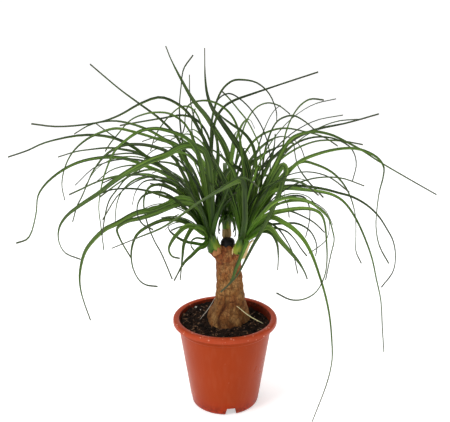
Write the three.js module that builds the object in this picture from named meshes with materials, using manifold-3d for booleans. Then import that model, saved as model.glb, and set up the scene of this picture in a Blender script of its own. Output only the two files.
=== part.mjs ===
// A ponytail palm in a plastic nursery pot, in millimetres, +Z up.
// The origin is on the floor under the middle of the pot; the front of the plant looks along -Y.
import * as THREE from "three";
import { mergeVertices } from "three/addons/utils/BufferGeometryUtils.js";
import Module from "manifold-3d";

const wasm = await Module();
wasm.setup();

// Driving dimensions
const GAP = 0.35;
const POT_HEIGHT = 106;
const RIM_RADIUS = 60;
const RIM_HEIGHT = 5.8;
const RIM_EDGE_ROUND = 2.2;
const WALL = 1.3;
const WALL_TOP_RADIUS = 54;
const WALL_FOOT_RADIUS = 39.8;
const SHOULDER_DROP = 13;
const SHOULDER_STEP = 0.8;
const FOOT_RADIUS = 37.5;
const FOOT_RING_WIDTH = 2.4;
const FOOT_ROUND_HEIGHT = 4;
const FLOOR_UNDERSIDE = 6;
const NOTCH_COUNT = 4;
const NOTCH_HEIGHT = 9;
const NOTCH_TOP_WIDTH = 9.5;
const NOTCH_FOOT_WIDTH = 13.5;
const NOTCH_INNER_RADIUS = 31;
const NOTCH_FIRST_ANGLE = THREE.MathUtils.degToRad(-80);
const POT_SIDES = 48;

const SOIL_LEVEL = 95.5;
const SOIL_LUMP = 1.5;
const SOIL_HEAP = 2;
const SOIL_BACK_RISE = 5.6;
const SOIL_SIDES = 40;
const SOIL_RINGS = 9;
const SOIL_WALL_RINGS = 3;

const TRUNK_AXIS_Y = 11;
const LOBE_DEPTH = 2.6;
const TRUNK_SIDES = 24;
const TRUNK_STEPS = 18;
const LIMB_SIDES = 14;
const LIMB_STEPS = 4;

const SEAL_RADIUS = 7.9;
const SEAL_HEIGHT = 6.2;
const STUB_RADIUS = 7.6;
const STUB_TOP = 191.2;
const STUB_LENGTH = 20;
const STUB_TAPER = 1.5;
const STUB_X = 3.2;
const STUB_Y = 7;

const CORE_TOP_RADIUS = 3.4;
const CORE_INSET = 0.5;

const EYE = new THREE.Vector3(0, -690, 430);
const SEAT_LOWEST = 0.15;
const SEAT_CLIMB = 0.53;
const SEAT_OUT = 1.2;
const LEAVE_OUT = 3.6;
const LEAVE_UP = 7;
const LEAF_TIP_WIDTH = 1;
const LEAF_BASE_SHARE = 0.8;
const LEAF_BASE_LENGTH = 0.18;
const LEAF_TAPER_POWER = 2.2;
const LEAF_FACING = 1.1;
const KEEL_SHARE = 0.34;
const KEEL_LEAST = 0.8;
const LEAF_CLEARANCE = 0.8;
const CHORD_SHARES = [0, 0.2, 0.4, 0.6, 0.8, 1];
const BEND_STEP = 3;
const BEND_TRIES = 40;

// Dry fallen leaves: how high and how far round they touch the trunk, and where they meet the soil
const DRY_LEAF_LIFT = 1;
const DRY_LEAF_SAG = 2;
const DRY_LEAF_THICKNESS = 0.6;
const DRY_LEAF_STEPS = 8;
const DRY_LEAF_RIGHT = { top: { height: 121, angle: -1.15 }, foot: { x: 44, y: -2 }, width: 3.2 };
const DRY_LEAF_LEFT = { top: { height: 127, angle: -2.8 }, foot: { x: -29, y: 5 }, width: 2.6 };

// Trunk outline: height, middle from left to right, radius
const TRUNK_OUTLINE = [
  [60, 4, 3],
  [61.5, 4, 12],
  [66, 4, 20],
  [76, 3.5, 25],
  [88, 3, 26.5],
  [97, 2.6, 25.6],
  [107.5, 4.1, 22.6],
  [115, 5.2, 19.4],
  [125, 6.1, 17.1],
  [142, 5.4, 15.5],
  [161, 4.3, 14.7],
  [175, 3.7, 14.6],
  [182, 3.6, 14.6],
  [185.5, 3.5, 12.8],
  [188, 3.4, 9.6],
  [190, 3.3, 8],
];

// Crowns: where each shoot ends, and which way it grows
const CROWNS = {
  left: {
    base: new THREE.Vector3(-12, 4, 186),
    grows: new THREE.Vector3(-0.3, -0.1, 1).normalize(),
    shoot: { length: 12, footRadius: 2.4, endRadius: 7.4 },
    coreLength: 17,
  },
  right: {
    base: new THREE.Vector3(16, -1, 184.5),
    grows: new THREE.Vector3(0.24, -0.15, 1).normalize(),
    shoot: { length: 12, footRadius: 2.4, endRadius: 7.4 },
    coreLength: 17,
  },
  back: {
    base: new THREE.Vector3(2, 22.5, 205),
    grows: new THREE.Vector3(0, 0.16, 1).normalize(),
    shoot: { length: 34, footRadius: 6, endRadius: 4 },
    coreLength: 9,
  },
};

// Leaves read from the front view. A key point is [across, up] on the upright plane through the pot's
// axis; toward says how far the tip stands nearer to the eye than that plane.
const TRACED_LEAVES = [
  { crown: "left", width: 3.5, toward: -110, path: [[-50, 312], [-68, 333], [-90, 350], [-110, 365],
    [-140, 391]] },
  { crown: "left", width: 4, toward: -60, path: [[-50, 304], [-62, 311], [-83, 323], [-104, 330],
    [-120, 332], [-143, 328], [-161, 318]] },
  { crown: "left", width: 3, toward: -100, path: [[-16, 310], [-30, 333], [-45, 338], [-66, 335],
    [-90, 331], [-112, 327]] },
  { crown: "left", width: 4.5, toward: 30, path: [[-54, 304], [-74, 313], [-100, 321], [-116, 324],
    [-132, 320], [-150, 311], [-165, 297], [-174, 280], [-178, 262], [-176, 245]] },
  { crown: "left", width: 7, toward: 80, facing: 2.5, path: [[-20, 296], [-30, 304], [-40, 306],
    [-50, 303], [-64, 295], [-81, 289], [-101, 279], [-120, 267], [-138, 253], [-158, 240], [-175, 227],
    [-184, 214], [-186, 198], [-180, 184], [-163, 176]] },
  { crown: "left", width: 4.5, toward: 45, path: [[-36, 292], [-55, 298], [-85, 284], [-115, 265],
    [-138, 248]] },
  { crown: "left", width: 5, toward: 15, path: [[-60, 270], [-88, 284], [-106, 291], [-125, 293],
    [-153, 289], [-174, 280], [-195, 264], [-205, 250], [-209, 229], [-220, 201], [-234, 195]] },
  { crown: "left", width: 4.5, toward: -10, path: [[-60, 274], [-83, 292], [-100, 305], [-120, 314],
    [-150, 317], [-192, 309], [-213, 300], [-234, 293]] },
  { crown: "left", width: 3, toward: -130, path: [[-60, 272], [-88, 296], [-117, 314], [-137, 329]] },
  { crown: "left", width: 3, toward: -90, path: [[-38, 322], [-57, 339], [-74, 341], [-86, 339],
    [-100, 333], [-116, 316], [-123, 308], [-129, 299]] },
  { crown: "left", width: 5.5, toward: 95, path: [[-30, 300], [-42, 314], [-62, 322], [-74, 324],
    [-91, 321], [-109, 309], [-119, 299], [-128, 281], [-134, 264], [-139, 238], [-138, 216],
    [-136, 187]] },
  { crown: "left", width: 4.5, toward: 60, path: [[-56, 294], [-75, 304], [-95, 307], [-112, 305],
    [-129, 295], [-144, 276], [-149, 266], [-157, 249], [-163, 238], [-169, 220]] },
  { crown: "left", width: 5, toward: -70, path: [[-70, 284], [-95, 298], [-108, 301], [-124, 303],
    [-147, 301], [-160, 299], [-180, 293]] },
  { crown: "left", width: 3, toward: -150, path: [[-60, 276], [-85, 293], [-100, 297], [-127, 295]] },
  { crown: "left", width: 4.5, toward: 186, path: [[-40, 258], [-62, 274], [-80, 279], [-92, 277],
    [-108, 269], [-118, 257], [-127, 245], [-132, 230], [-137, 205]] },
  { crown: "left", width: 6, toward: 100, facing: 2.5, path: [[-32, 241], [-50, 247], [-64, 240],
    [-79, 234], [-98, 230], [-120, 218], [-134, 211], [-152, 193], [-159, 181], [-165, 157],
    [-165, 139], [-162, 123], [-156, 101]] },
  { crown: "left", width: 6, toward: 82, facing: 2.5, path: [[-30, 236], [-48, 241], [-79, 229],
    [-95, 224], [-110, 220], [-120, 212], [-118, 202], [-112, 189], [-106, 178]] },
  { crown: "left", width: 3, toward: -50, path: [[-50, 262], [-80, 271], [-98, 268], [-112, 256],
    [-119, 241], [-122, 219]] },
  { crown: "left", width: 5.5, toward: 110, path: [[-32, 212], [-45, 220], [-58, 223], [-69, 222],
    [-87, 214], [-99, 204], [-105, 187], [-105, 170], [-102, 159], [-97, 150], [-90, 145],
    [-77, 143]] },
  { crown: "left", width: 3, toward: 62, path: [[-45, 248], [-66, 262], [-82, 260], [-89, 246],
    [-87, 222], [-79, 198], [-72, 184], [-60, 152]] },
  { crown: "left", width: 2.5, toward: -60, path: [[-26, 330], [-36, 346], [-46, 347], [-56, 340],
    [-66, 329], [-75, 315], [-80, 300]] },
  { crown: "left", width: 4.5, toward: 60, path: [[-40, 232], [-57, 245], [-72, 251], [-88, 256],
    [-105, 258], [-127, 256], [-150, 246]] },
  { crown: "left", width: 4.5, toward: -30, path: [[-50, 258], [-80, 273], [-105, 273], [-122, 271],
    [-141, 265], [-158, 257], [-171, 251]] },
  { crown: "left", width: 4, toward: 34, path: [[-40, 250], [-66, 266], [-88, 266], [-98, 254],
    [-102, 240]] },
  { crown: "left", width: 3, toward: 84, path: [[-46, 238], [-70, 254], [-88, 251], [-95, 243],
    [-97, 230], [-92, 218], [-80, 211]] },
  { crown: "left", width: 6, toward: 76, path: [[-26, 208], [-36, 215], [-44, 214], [-52, 207],
    [-59, 198], [-63, 188], [-60, 180], [-51, 177]] },
  { crown: "left", width: 3, toward: 48, path: [[-24, 194], [-34, 195], [-44, 197], [-55, 203],
    [-63, 212], [-62, 220], [-58, 225], [-51, 229]] },
  { crown: "left", width: 5, toward: 58, path: [[-26, 213], [-35, 214], [-41, 206], [-46, 194],
    [-48, 178], [-51, 151]] },
  { crown: "left", width: 4, toward: 44, path: [[-22, 192], [-29, 189], [-37, 181], [-46, 172],
    [-58, 150]] },
  { crown: "left", width: 4, toward: -14, path: [[-26, 210], [-38, 215], [-50, 214], [-60, 210]] },
  { crown: "left", width: 3, toward: 26, path: [[-24, 200], [-32, 201], [-37, 198], [-38, 192],
    [-35, 187]] },
  { crown: "left", width: 3, toward: -70, path: [[-36, 270], [-45, 305], [-48, 332], [-48, 350],
    [-46, 368], [-43, 386], [-33, 400]] },
  { crown: "left", width: 4.5, toward: 26, facing: 2.5, path: [[-13, 212], [-10, 224], [-6, 236],
    [-1, 247], [4, 260], [10, 268], [18, 271], [26, 268], [36, 260]] },
  { crown: "left", width: 3, toward: -60, path: [[-14, 262], [-15, 300], [-14, 332], [-9, 352],
    [-2, 366], [8, 374], [18, 375], [33, 372], [46, 361], [54, 343], [55, 330]] },
  { crown: "left", width: 7, toward: -20, path: [[-18.5, 230], [-24.5, 252], [-32, 266], [-39, 275],
    [-48, 282], [-59.5, 286.5], [-72, 288]] },
  { crown: "left", width: 5.5, toward: -60, path: [[-18.5, 233], [-21, 260], [-24, 282], [-28, 299],
    [-33, 311], [-35.5, 323], [-34.5, 336], [-31.5, 345]] },
  { crown: "left", width: 8, toward: -46, path: [[-9, 233], [-4.5, 258], [1.5, 275], [11, 282],
    [21, 275], [29, 265], [34, 252]] },
  { crown: "left", width: 7.5, toward: -34, path: [[-15, 233], [-14, 255], [-11, 273], [-7.5, 292],
    [-8.5, 310], [-12.5, 323], [-18, 333]] },
  { crown: "left", width: 3.5, toward: -80, path: [[-14, 262], [-14, 306], [-10, 333], [-2, 346],
    [8, 353], [30, 361], [60, 371], [97, 383]] },
  { crown: "right", width: 6.2, toward: -12, facing: 2, path: [[16, 216], [13, 229], [10, 241],
    [4, 257], [-5, 275], [-13, 291], [-25, 318], [-37, 338], [-50, 350], [-68, 357], [-90, 350],
    [-110, 339], [-128, 332], [-150, 328], [-180, 326], [-206, 329]] },
  { crown: "right", width: 6, toward: 72, facing: 3, path: [[20, 206], [22, 220], [22, 236],
    [21.5, 250], [21, 261], [17, 267], [8, 264], [-7, 255], [-30, 241], [-49, 227], [-70, 213],
    [-96, 202], [-127, 189]] },
  { crown: "right", width: 6.5, toward: 48, facing: 3, path: [[28, 212], [38, 236], [50, 262],
    [58, 277], [63, 284], [66, 279], [63, 267], [59, 252], [52, 234], [43, 214], [32, 194], [23, 175],
    [13, 155], [-3, 138]] },
  { crown: "right", width: 5, toward: 34, facing: 2.5, path: [[23, 201], [24, 196], [21, 188],
    [17, 177], [12, 164], [7, 149], [-5, 136]] },
  { crown: "right", width: 8.5, toward: -70, path: [[26, 236], [28, 260], [25, 280], [18, 299],
    [9, 313], [-4, 332], [-13, 345], [-18, 358], [-20.5, 376], [-21, 407]] },
  { crown: "right", width: 5.5, toward: 26, path: [[30, 218], [42, 250], [49, 278], [48, 299],
    [42, 320], [34, 335], [24, 348], [12, 358], [4, 361], [-4, 358], [-10, 351]] },
  { crown: "right", width: 7, toward: -14, path: [[28, 228], [34, 258], [34, 284], [31, 303], [25, 314],
    [17, 322], [8, 328], [-4, 337], [-15, 347]] },
  { crown: "right", width: 2.5, toward: -60, path: [[32, 240], [38, 275], [37, 304], [30, 321],
    [23, 333], [14, 344], [4, 356], [-3, 363]] },
  { crown: "right", width: 6.5, toward: -14, path: [[26, 215], [36, 243], [45, 264], [54, 283],
    [63, 302], [72, 314], [84, 319], [97, 320.5], [114, 317], [131, 309], [148, 300], [165, 289],
    [198, 270], [232, 251]] },
  { crown: "right", width: 5.5, toward: 42, path: [[26, 212], [40, 232], [52, 252], [64, 270],
    [79, 287], [98, 296], [122, 302], [140, 302.5], [155, 298], [166, 291], [172, 282], [172, 271],
    [169, 255], [167.5, 232], [168, 213], [173, 192], [185, 171]] },
  { crown: "right", width: 3, toward: -95, path: [[38, 250], [56, 286], [73, 300], [87, 307],
    [102, 311], [125, 310.5], [148, 306.5]] },
  { crown: "right", width: 5, toward: -50, path: [[34, 235], [52, 272], [61, 298], [64.5, 318],
    [71, 336], [80, 349], [90, 355], [104, 354]] },
  { crown: "right", width: 5, toward: -26, path: [[34, 232], [40, 268], [42, 294], [47, 315], [55, 331],
    [64, 336.5], [73, 337.5], [84, 332], [96, 322]] },
  { crown: "right", width: 6.5, toward: 62, path: [[30, 222], [42, 243], [52, 254], [66, 258],
    [83, 257], [100, 255], [115, 252], [127, 246], [136, 237], [147, 220], [158, 197], [166, 176],
    [172, 153], [179, 126], [183, 92], [187, 60]] },
  { crown: "right", width: 4.5, toward: -30, path: [[32, 226], [45, 248], [60, 259], [80, 261],
    [108, 257.5], [125, 253], [139, 249], [156, 239.5], [170, 226.5], [180, 212], [188, 198],
    [192, 180], [190.5, 161], [178.6, 142]] },
  { crown: "right", width: 5, toward: 104, path: [[30, 214], [42, 230], [52, 241], [63, 246.5],
    [75, 247.5], [90, 244.5], [104, 235], [114.5, 224.5], [120, 209], [122, 199], [119, 181],
    [114.5, 151]] },
  { crown: "right", width: 5.5, toward: 76, path: [[28, 208], [38, 221], [50, 229], [66, 233],
    [84, 235.5], [98, 234], [106, 229], [110.5, 219], [113.5, 197], [115, 176], [113, 155], [104, 136],
    [91, 127.5], [76, 126.5], [59, 135]] },
  { crown: "right", width: 2.5, toward: 38, path: [[36, 224], [60, 241], [85, 244], [103, 237],
    [114, 226], [116, 213], [113, 199], [104, 190], [94, 183]] },
  { crown: "right", width: 3, toward: -64, path: [[36, 218], [54, 231], [69, 233], [85, 227], [99, 219],
    [111, 207.5]] },
  { crown: "right", width: 3, toward: -24, path: [[36, 226], [56, 244], [75, 250], [87, 248], [93, 237],
    [93.5, 221], [90, 202]] },
  { crown: "right", width: 4, toward: 20, path: [[32, 208], [48, 216], [66, 218], [80, 218], [93, 211],
    [100, 201], [103, 190], [102, 180]] },
  { crown: "right", width: 5, toward: 50, path: [[32, 205], [45, 212], [57, 212.5], [69, 208.5],
    [78, 199.5], [85, 189], [92, 180]] },
  { crown: "right", width: 6, toward: 90, path: [[30, 206], [42, 219], [52, 225], [65, 219], [78, 210],
    [89, 197.5], [98, 181], [107, 157], [115, 132], [121, 106], [125, 75], [126.5, 50], [122, 20],
    [106, -34]] },
  { crown: "right", width: 6.5, toward: 66, path: [[30, 204], [41, 212], [50, 213], [60, 200],
    [73, 185], [84, 171.5], [91, 159], [93.6, 152]] },
  { crown: "right", width: 4, toward: 44, path: [[32, 208], [46, 219], [58, 213], [70, 196], [77, 181],
    [82.4, 159]] },
  { crown: "right", width: 4, toward: 26, path: [[30, 202], [42, 209], [52, 206], [58, 195], [60, 180],
    [59.7, 163]] },
  { crown: "right", width: 4.5, toward: -46, path: [[34, 225], [54, 262], [70, 280], [84, 288],
    [98, 285], [115, 277], [127, 266], [137, 250], [144, 228], [146, 205], [147, 186], [154, 171]] },
  { crown: "right", width: 4.5, toward: 6, path: [[34, 222], [50, 264], [61, 292], [69, 308], [73, 308],
    [75, 298], [79, 283], [90, 267], [108, 248]] },
  { crown: "right", width: 3, toward: -74, path: [[40, 248], [60, 294], [80, 310], [100, 315],
    [120, 312], [136, 302], [142, 286], [139, 267]] },
  { crown: "back", width: 7.5, toward: -120, path: [[8, 250], [9, 277], [4, 293], [-2, 308], [-10, 321],
    [-20, 337], [-33, 353], [-45, 374], [-56, 396], [-61, 409]] },
  { crown: "right", width: 6, toward: -36, path: [[22, 246], [20, 280], [17, 306], [13, 326], [6, 339],
    [-4, 348], [-16, 353], [-28, 353], [-38, 349], [-42, 338], [-43, 326], [-49, 309]] },
  { crown: "right", width: 8, toward: -24, path: [[17.5, 233], [15, 252], [13, 267], [7, 282],
    [-1.5, 292], [-10, 299], [-18, 303]] },
  { crown: "right", width: 7.5, toward: -30, path: [[24, 230], [30, 250], [37, 265], [44, 278],
    [50, 292], [53, 306], [53.5, 318]] },
  { crown: "back", width: 6, toward: -80, path: [[10, 246], [20, 266], [31, 276], [44, 285], [58, 298],
    [72, 311], [94, 322], [130, 330], [163, 339.5]] },
  { crown: "back", width: 3, toward: -150, path: [[10, 262], [22, 298], [36, 315], [54, 323], [67, 324],
    [83, 321], [105, 315], [121, 305]] },
  { crown: "back", width: 2.5, toward: -112, path: [[8, 262], [15, 306], [23, 332], [33, 346],
    [45, 351], [57, 348], [69, 339]] },
  { crown: "back", width: 4.5, toward: -186, path: [[-4, 262], [-14, 290], [-26, 310], [-40, 318],
    [-58, 312]] },
  { crown: "back", width: 3, toward: -130, path: [[-6, 268], [-22, 312], [-34, 340], [-37, 362],
    [-37, 380]] },
  { crown: "back", width: 7.5, toward: -60, path: [[0, 233], [-5, 254], [-8, 271], [-12, 288],
    [-17, 301], [-24, 309]] },
  { crown: "back", width: 7.5, toward: -50, path: [[7, 233], [12, 252], [19, 269], [26, 283], [36, 292],
    [48, 300], [62, 306]] },
];

// Seeded fillers: leaves per crown, and the sector in which they head, in degrees from the right,
// turning away from the eye
const FILLERS = [
  { crown: "left", count: 11, from: 105, to: 232 },
  { crown: "right", count: 11, from: -48, to: 78 },
  { crown: "back", count: 13, from: 15, to: 168 },
];
const FILLER_SEED = 7;
const FILLER_TRIES = 14;
const FILLER_START = 14;
const FILLER_PIECES = 7;
const FILLER_BOW = 1.6;
const GOLDEN_SHARE = 0.618034;

// A repeatable draw between two values
function makeDraw(seed) {
  let state = seed;
  return (low, high) => {
    state = (state * 16807) % 2147483647;
    return low + ((high - low) * state) / 2147483647;
  };
}

// Solids and meshes

function toSolid(geometry) {
  const bare = geometry.clone();
  bare.deleteAttribute("normal");
  bare.deleteAttribute("uv");
  const merged = mergeVertices(bare, 1e-4);
  return new wasm.Manifold(
    new wasm.Mesh({
      numProp: 3,
      vertProperties: new Float32Array(merged.attributes.position.array),
      triVerts: new Uint32Array(merged.index.array),
    }),
  );
}

// The one outer skin of a fused solid: small hollows sealed by the joining are filled
function outerSkin(solid) {
  return solid.decompose().reduce((largest, body) => (body.volume() > largest.volume() ? body : largest));
}

function toGeometry(solid) {
  const { vertProperties, triVerts } = solid.getMesh();
  const geometry = new THREE.BufferGeometry();
  geometry.setAttribute("position", new THREE.BufferAttribute(vertProperties, 3));
  geometry.setIndex(new THREE.BufferAttribute(triVerts, 1));
  geometry.computeVertexNormals();
  return geometry;
}

function makeMesh(name, geometry, color, roughness) {
  const mesh = new THREE.Mesh(geometry, new THREE.MeshStandardMaterial({ color, roughness, metalness: 0 }));
  mesh.name = name;
  return mesh;
}

// A closed column whose every point comes from place(share of the height, angle, share of the radius)
function formColumn(sides, steps, place) {
  const geometry = new THREE.CylinderGeometry(1, 1, 1, sides, steps);
  const position = geometry.attributes.position;
  for (let i = 0; i < position.count; i++) {
    const x = position.getX(i);
    const z = position.getZ(i);
    const point = place(position.getY(i) + 0.5, Math.atan2(-z, x), Math.hypot(x, z));
    position.setXYZ(i, point.x, point.y, point.z);
  }
  return geometry;
}

// Pot

function wallRadius(height) {
  const top = POT_HEIGHT - SHOULDER_DROP;
  const share = (height - FOOT_ROUND_HEIGHT) / (top - FOOT_ROUND_HEIGHT);
  return THREE.MathUtils.lerp(WALL_FOOT_RADIUS, WALL_TOP_RADIUS - SHOULDER_STEP, share);
}

function makePot() {
  const shoulder = POT_HEIGHT - SHOULDER_DROP;
  const floorTop = FLOOR_UNDERSIDE + WALL;
  const lipFoot = POT_HEIGHT - RIM_HEIGHT;
  const lipUnderside = POT_HEIGHT - WALL;
  const footInner = FOOT_RADIUS - FOOT_RING_WIDTH;
  const profile = [
    [0, FLOOR_UNDERSIDE],
    [footInner, FLOOR_UNDERSIDE],
    [footInner, 0],
    [FOOT_RADIUS, 0],
    [FOOT_RADIUS + 1.5, FOOT_ROUND_HEIGHT * 0.35],
    [WALL_FOOT_RADIUS, FOOT_ROUND_HEIGHT],
    [wallRadius(shoulder), shoulder],
    [WALL_TOP_RADIUS - 0.1, shoulder + SHOULDER_STEP],
    [WALL_TOP_RADIUS, lipUnderside - 1],
    [WALL_TOP_RADIUS + 0.8, lipUnderside],
    [RIM_RADIUS - WALL - 0.6, lipUnderside],
    [RIM_RADIUS - WALL, lipUnderside - 0.8],
    [RIM_RADIUS - WALL, lipFoot],
    [RIM_RADIUS, lipFoot],
    [RIM_RADIUS, POT_HEIGHT - RIM_EDGE_ROUND],
    [RIM_RADIUS - RIM_EDGE_ROUND * 0.3, POT_HEIGHT - RIM_EDGE_ROUND * 0.3],
    [RIM_RADIUS - RIM_EDGE_ROUND, POT_HEIGHT],
    [WALL_TOP_RADIUS + 1, POT_HEIGHT],
    [WALL_TOP_RADIUS - WALL + 0.5, POT_HEIGHT - 0.6],
    [WALL_TOP_RADIUS - WALL, POT_HEIGHT - 2],
    [wallRadius(shoulder) - WALL, shoulder],
    [wallRadius(floorTop + 1.5) - WALL, floorTop + 1.5],
    [wallRadius(floorTop) - WALL - 1.5, floorTop],
    [0, floorTop],
  ];
  const lathe = new THREE.LatheGeometry(profile.map(([r, z]) => new THREE.Vector2(r, z)), POT_SIDES);
  let pot = toSolid(lathe.rotateX(Math.PI / 2));

  const reach = RIM_RADIUS - NOTCH_INNER_RADIUS;
  const outline = new THREE.Shape([
    new THREE.Vector2(-NOTCH_FOOT_WIDTH / 2, -1),
    new THREE.Vector2(NOTCH_FOOT_WIDTH / 2, -1),
    new THREE.Vector2(NOTCH_TOP_WIDTH / 2, NOTCH_HEIGHT),
    new THREE.Vector2(-NOTCH_TOP_WIDTH / 2, NOTCH_HEIGHT),
  ]);
  for (let i = 0; i < NOTCH_COUNT; i++) {
    const cutter = new THREE.ExtrudeGeometry(outline, { depth: reach, bevelEnabled: false });
    cutter.rotateX(Math.PI / 2);
    cutter.translate(0, NOTCH_INNER_RADIUS + reach, 0);
    cutter.rotateZ(NOTCH_FIRST_ANGLE - Math.PI / 2 + (i * 2 * Math.PI) / NOTCH_COUNT);
    pot = pot.subtract(toSolid(cutter));
  }
  return makeMesh("pot", toGeometry(pot), 0xb5532f, 0.42);
}

// Trunk

function outlineAt(height) {
  const last = TRUNK_OUTLINE.length - 1;
  const upper = Math.max(1, TRUNK_OUTLINE.findIndex(([z], i) => z >= height || i === last));
  const [z0, x0, r0] = TRUNK_OUTLINE[upper - 1];
  const [z1, x1, r1] = TRUNK_OUTLINE[upper];
  const share = THREE.MathUtils.clamp((height - z0) / (z1 - z0), 0, 1);
  return { middle: THREE.MathUtils.lerp(x0, x1, share), radius: THREE.MathUtils.lerp(r0, r1, share) };
}

// Root-like lobes round the foot, and low rings up the stem
function barkSwell(height, angle) {
  const flare = THREE.MathUtils.smoothstep(125 - height, 0, 28) * THREE.MathUtils.smoothstep(height, 60, 80);
  const lobes = Math.cos(3 * (angle + 2)) * 0.6 + Math.cos(5 * angle - 1.1) * 0.4;
  const rings = Math.sin(height * 0.55 + Math.sin(angle * 2) * 1.3) * 0.35;
  const stem = THREE.MathUtils.smoothstep(height, 104, 120) * THREE.MathUtils.smoothstep(190 - height, 0, 12);
  return flare * lobes * LOBE_DEPTH + stem * rings;
}

function trunkPoint(height, angle, share, extra) {
  const { middle, radius } = outlineAt(height);
  const reach = (radius + barkSwell(height, angle) + extra) * share;
  return new THREE.Vector3(middle + reach * Math.cos(angle), TRUNK_AXIS_Y + reach * Math.sin(angle), height);
}

// The column's rings sit closer together at the flare and at the shoulders than along the stem
function trunkHeight(share) {
  const bottom = TRUNK_OUTLINE[0][0];
  const top = TRUNK_OUTLINE[TRUNK_OUTLINE.length - 1][0];
  const eased = share - Math.sin(share * 2 * Math.PI) * 0.07;
  return bottom + (top - bottom) * eased;
}

function makeTrunkColumn(extra) {
  return formColumn(TRUNK_SIDES, TRUNK_STEPS, (t, angle, share) => {
    const height = trunkHeight(t);
    const point = trunkPoint(height, angle, share, extra);
    point.z -= extra * (1 - t);
    return point;
  });
}

// A tapering woody limb from one point to another, with a flat end
function makeLimb(from, to, footRadius, endRadius) {
  const axis = to.clone().sub(from);
  const turn = new THREE.Quaternion().setFromUnitVectors(new THREE.Vector3(0, 0, 1), axis.clone().normalize());
  return formColumn(LIMB_SIDES, LIMB_STEPS, (t, angle, share) => {
    const radius = THREE.MathUtils.lerp(footRadius, endRadius, t) * share;
    const offset = new THREE.Vector3(radius * Math.cos(angle), radius * Math.sin(angle), 0);
    return offset.applyQuaternion(turn).add(from).addScaledVector(axis, t);
  });
}

function makeTrunk() {
  const shoots = Object.values(CROWNS).map(({ base, grows, shoot }) => {
    const foot = base.clone().addScaledVector(grows, -shoot.length);
    return makeLimb(foot, base, shoot.footRadius, shoot.endRadius);
  });
  const stubTop = new THREE.Vector3(STUB_X, STUB_Y, STUB_TOP);
  const stubFoot = stubTop.clone().setZ(STUB_TOP - STUB_LENGTH);
  const stub = makeLimb(stubFoot, stubTop, STUB_RADIUS + STUB_TAPER, STUB_RADIUS);
  const limbs = [...shoots, stub];
  const woody = limbs.reduce((whole, limb) => whole.add(toSolid(limb)), toSolid(makeTrunkColumn(0)));
  const seats = Object.keys(CROWNS).map((crown) => toSolid(makeCore(crown, GAP)));
  const trunk = seats.reduce((rest, seat) => rest.subtract(seat), woody);
  return makeMesh("trunk", toGeometry(trunk), 0x8a5a3c, 0.85);
}

function makeWoundSeal() {
  const foot = STUB_TOP + GAP;
  const profile = [
    [0, foot],
    [SEAL_RADIUS - 0.5, foot],
    [SEAL_RADIUS, foot + 0.8],
    [SEAL_RADIUS - 0.2, foot + SEAL_HEIGHT * 0.55],
    [SEAL_RADIUS - 1.2, foot + SEAL_HEIGHT * 0.85],
    [SEAL_RADIUS - 3.2, foot + SEAL_HEIGHT],
    [0, foot + SEAL_HEIGHT * 0.94],
  ];
  const lathe = new THREE.LatheGeometry(profile.map(([r, z]) => new THREE.Vector2(r, z)), 20);
  const solid = toSolid(lathe.rotateX(Math.PI / 2).translate(STUB_X, STUB_Y, 0));
  return makeMesh("wound_seal", toGeometry(solid), 0x1c1420, 0.5);
}

// Soil

function soilHeight(x, y) {
  const lumps =
    Math.sin(x * 0.31 + 1.2) * Math.cos(y * 0.27 - 0.4) +
    Math.sin(x * 0.55 - y * 0.47 + 2.1) * 0.6 +
    Math.cos(x * 0.83 + y * 0.71) * 0.4;
  const fromTrunk = Math.hypot(x - 3, y - TRUNK_AXIS_Y);
  const heap = SOIL_HEAP * Math.exp(-((fromTrunk / 34) ** 2));
  const rise = SOIL_BACK_RISE * THREE.MathUtils.smoothstep(0.8 * y - 0.6 * x, 0, 48);
  return SOIL_LEVEL + lumps * SOIL_LUMP * 0.5 + heap + rise;
}

function makeSoil() {
  const foot = FLOOR_UNDERSIDE + WALL + GAP;
  const wallShare = SOIL_WALL_RINGS / SOIL_RINGS;
  const block = formColumn(SOIL_SIDES, SOIL_RINGS, (t, angle, share) => {
    const level = Math.min(t / wallShare, 1);
    const inward = 1 - Math.max(t - wallShare, 0) / (1 - wallShare);
    const height = THREE.MathUtils.lerp(foot, SOIL_LEVEL, level);
    const corner = level === 0 ? 2 : 0;
    const reach = (wallRadius(height) - WALL - GAP - corner) * share * Math.max(inward, 0.02);
    const x = reach * Math.cos(angle);
    const y = reach * Math.sin(angle);
    return new THREE.Vector3(x, y, level < 0.999 ? height : soilHeight(x, y));
  });
  const soil = toSolid(block).subtract(toSolid(makeTrunkColumn(GAP)));
  return makeMesh("soil", toGeometry(soil), 0x2e211a, 1);
}

// Leaves

// A key point of the front view, slid along the line of sight
function slideToward(across, up, toward) {
  const share = (-EYE.y - toward) / -EYE.y;
  return new THREE.Vector3(across, 0, up).sub(EYE).multiplyScalar(share).add(EYE);
}

// The two points where a leaf starts: one sunk in the crown's core, one where it leaves the sheath
function rootPoints(crown, target) {
  const { base, grows, coreLength } = CROWNS[crown];
  const rise = target.clone().sub(base).normalize().dot(grows);
  const seat = base.clone().addScaledVector(grows, coreLength * (SEAT_LOWEST + SEAT_CLIMB * Math.max(rise, 0)));
  const outward = target.clone().sub(seat);
  outward.addScaledVector(grows, -outward.dot(grows)).normalize();
  const leaving = seat.clone().addScaledVector(outward, LEAVE_OUT).addScaledVector(grows, LEAVE_UP);
  return [seat.addScaledVector(outward, SEAT_OUT), leaving];
}

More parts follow.
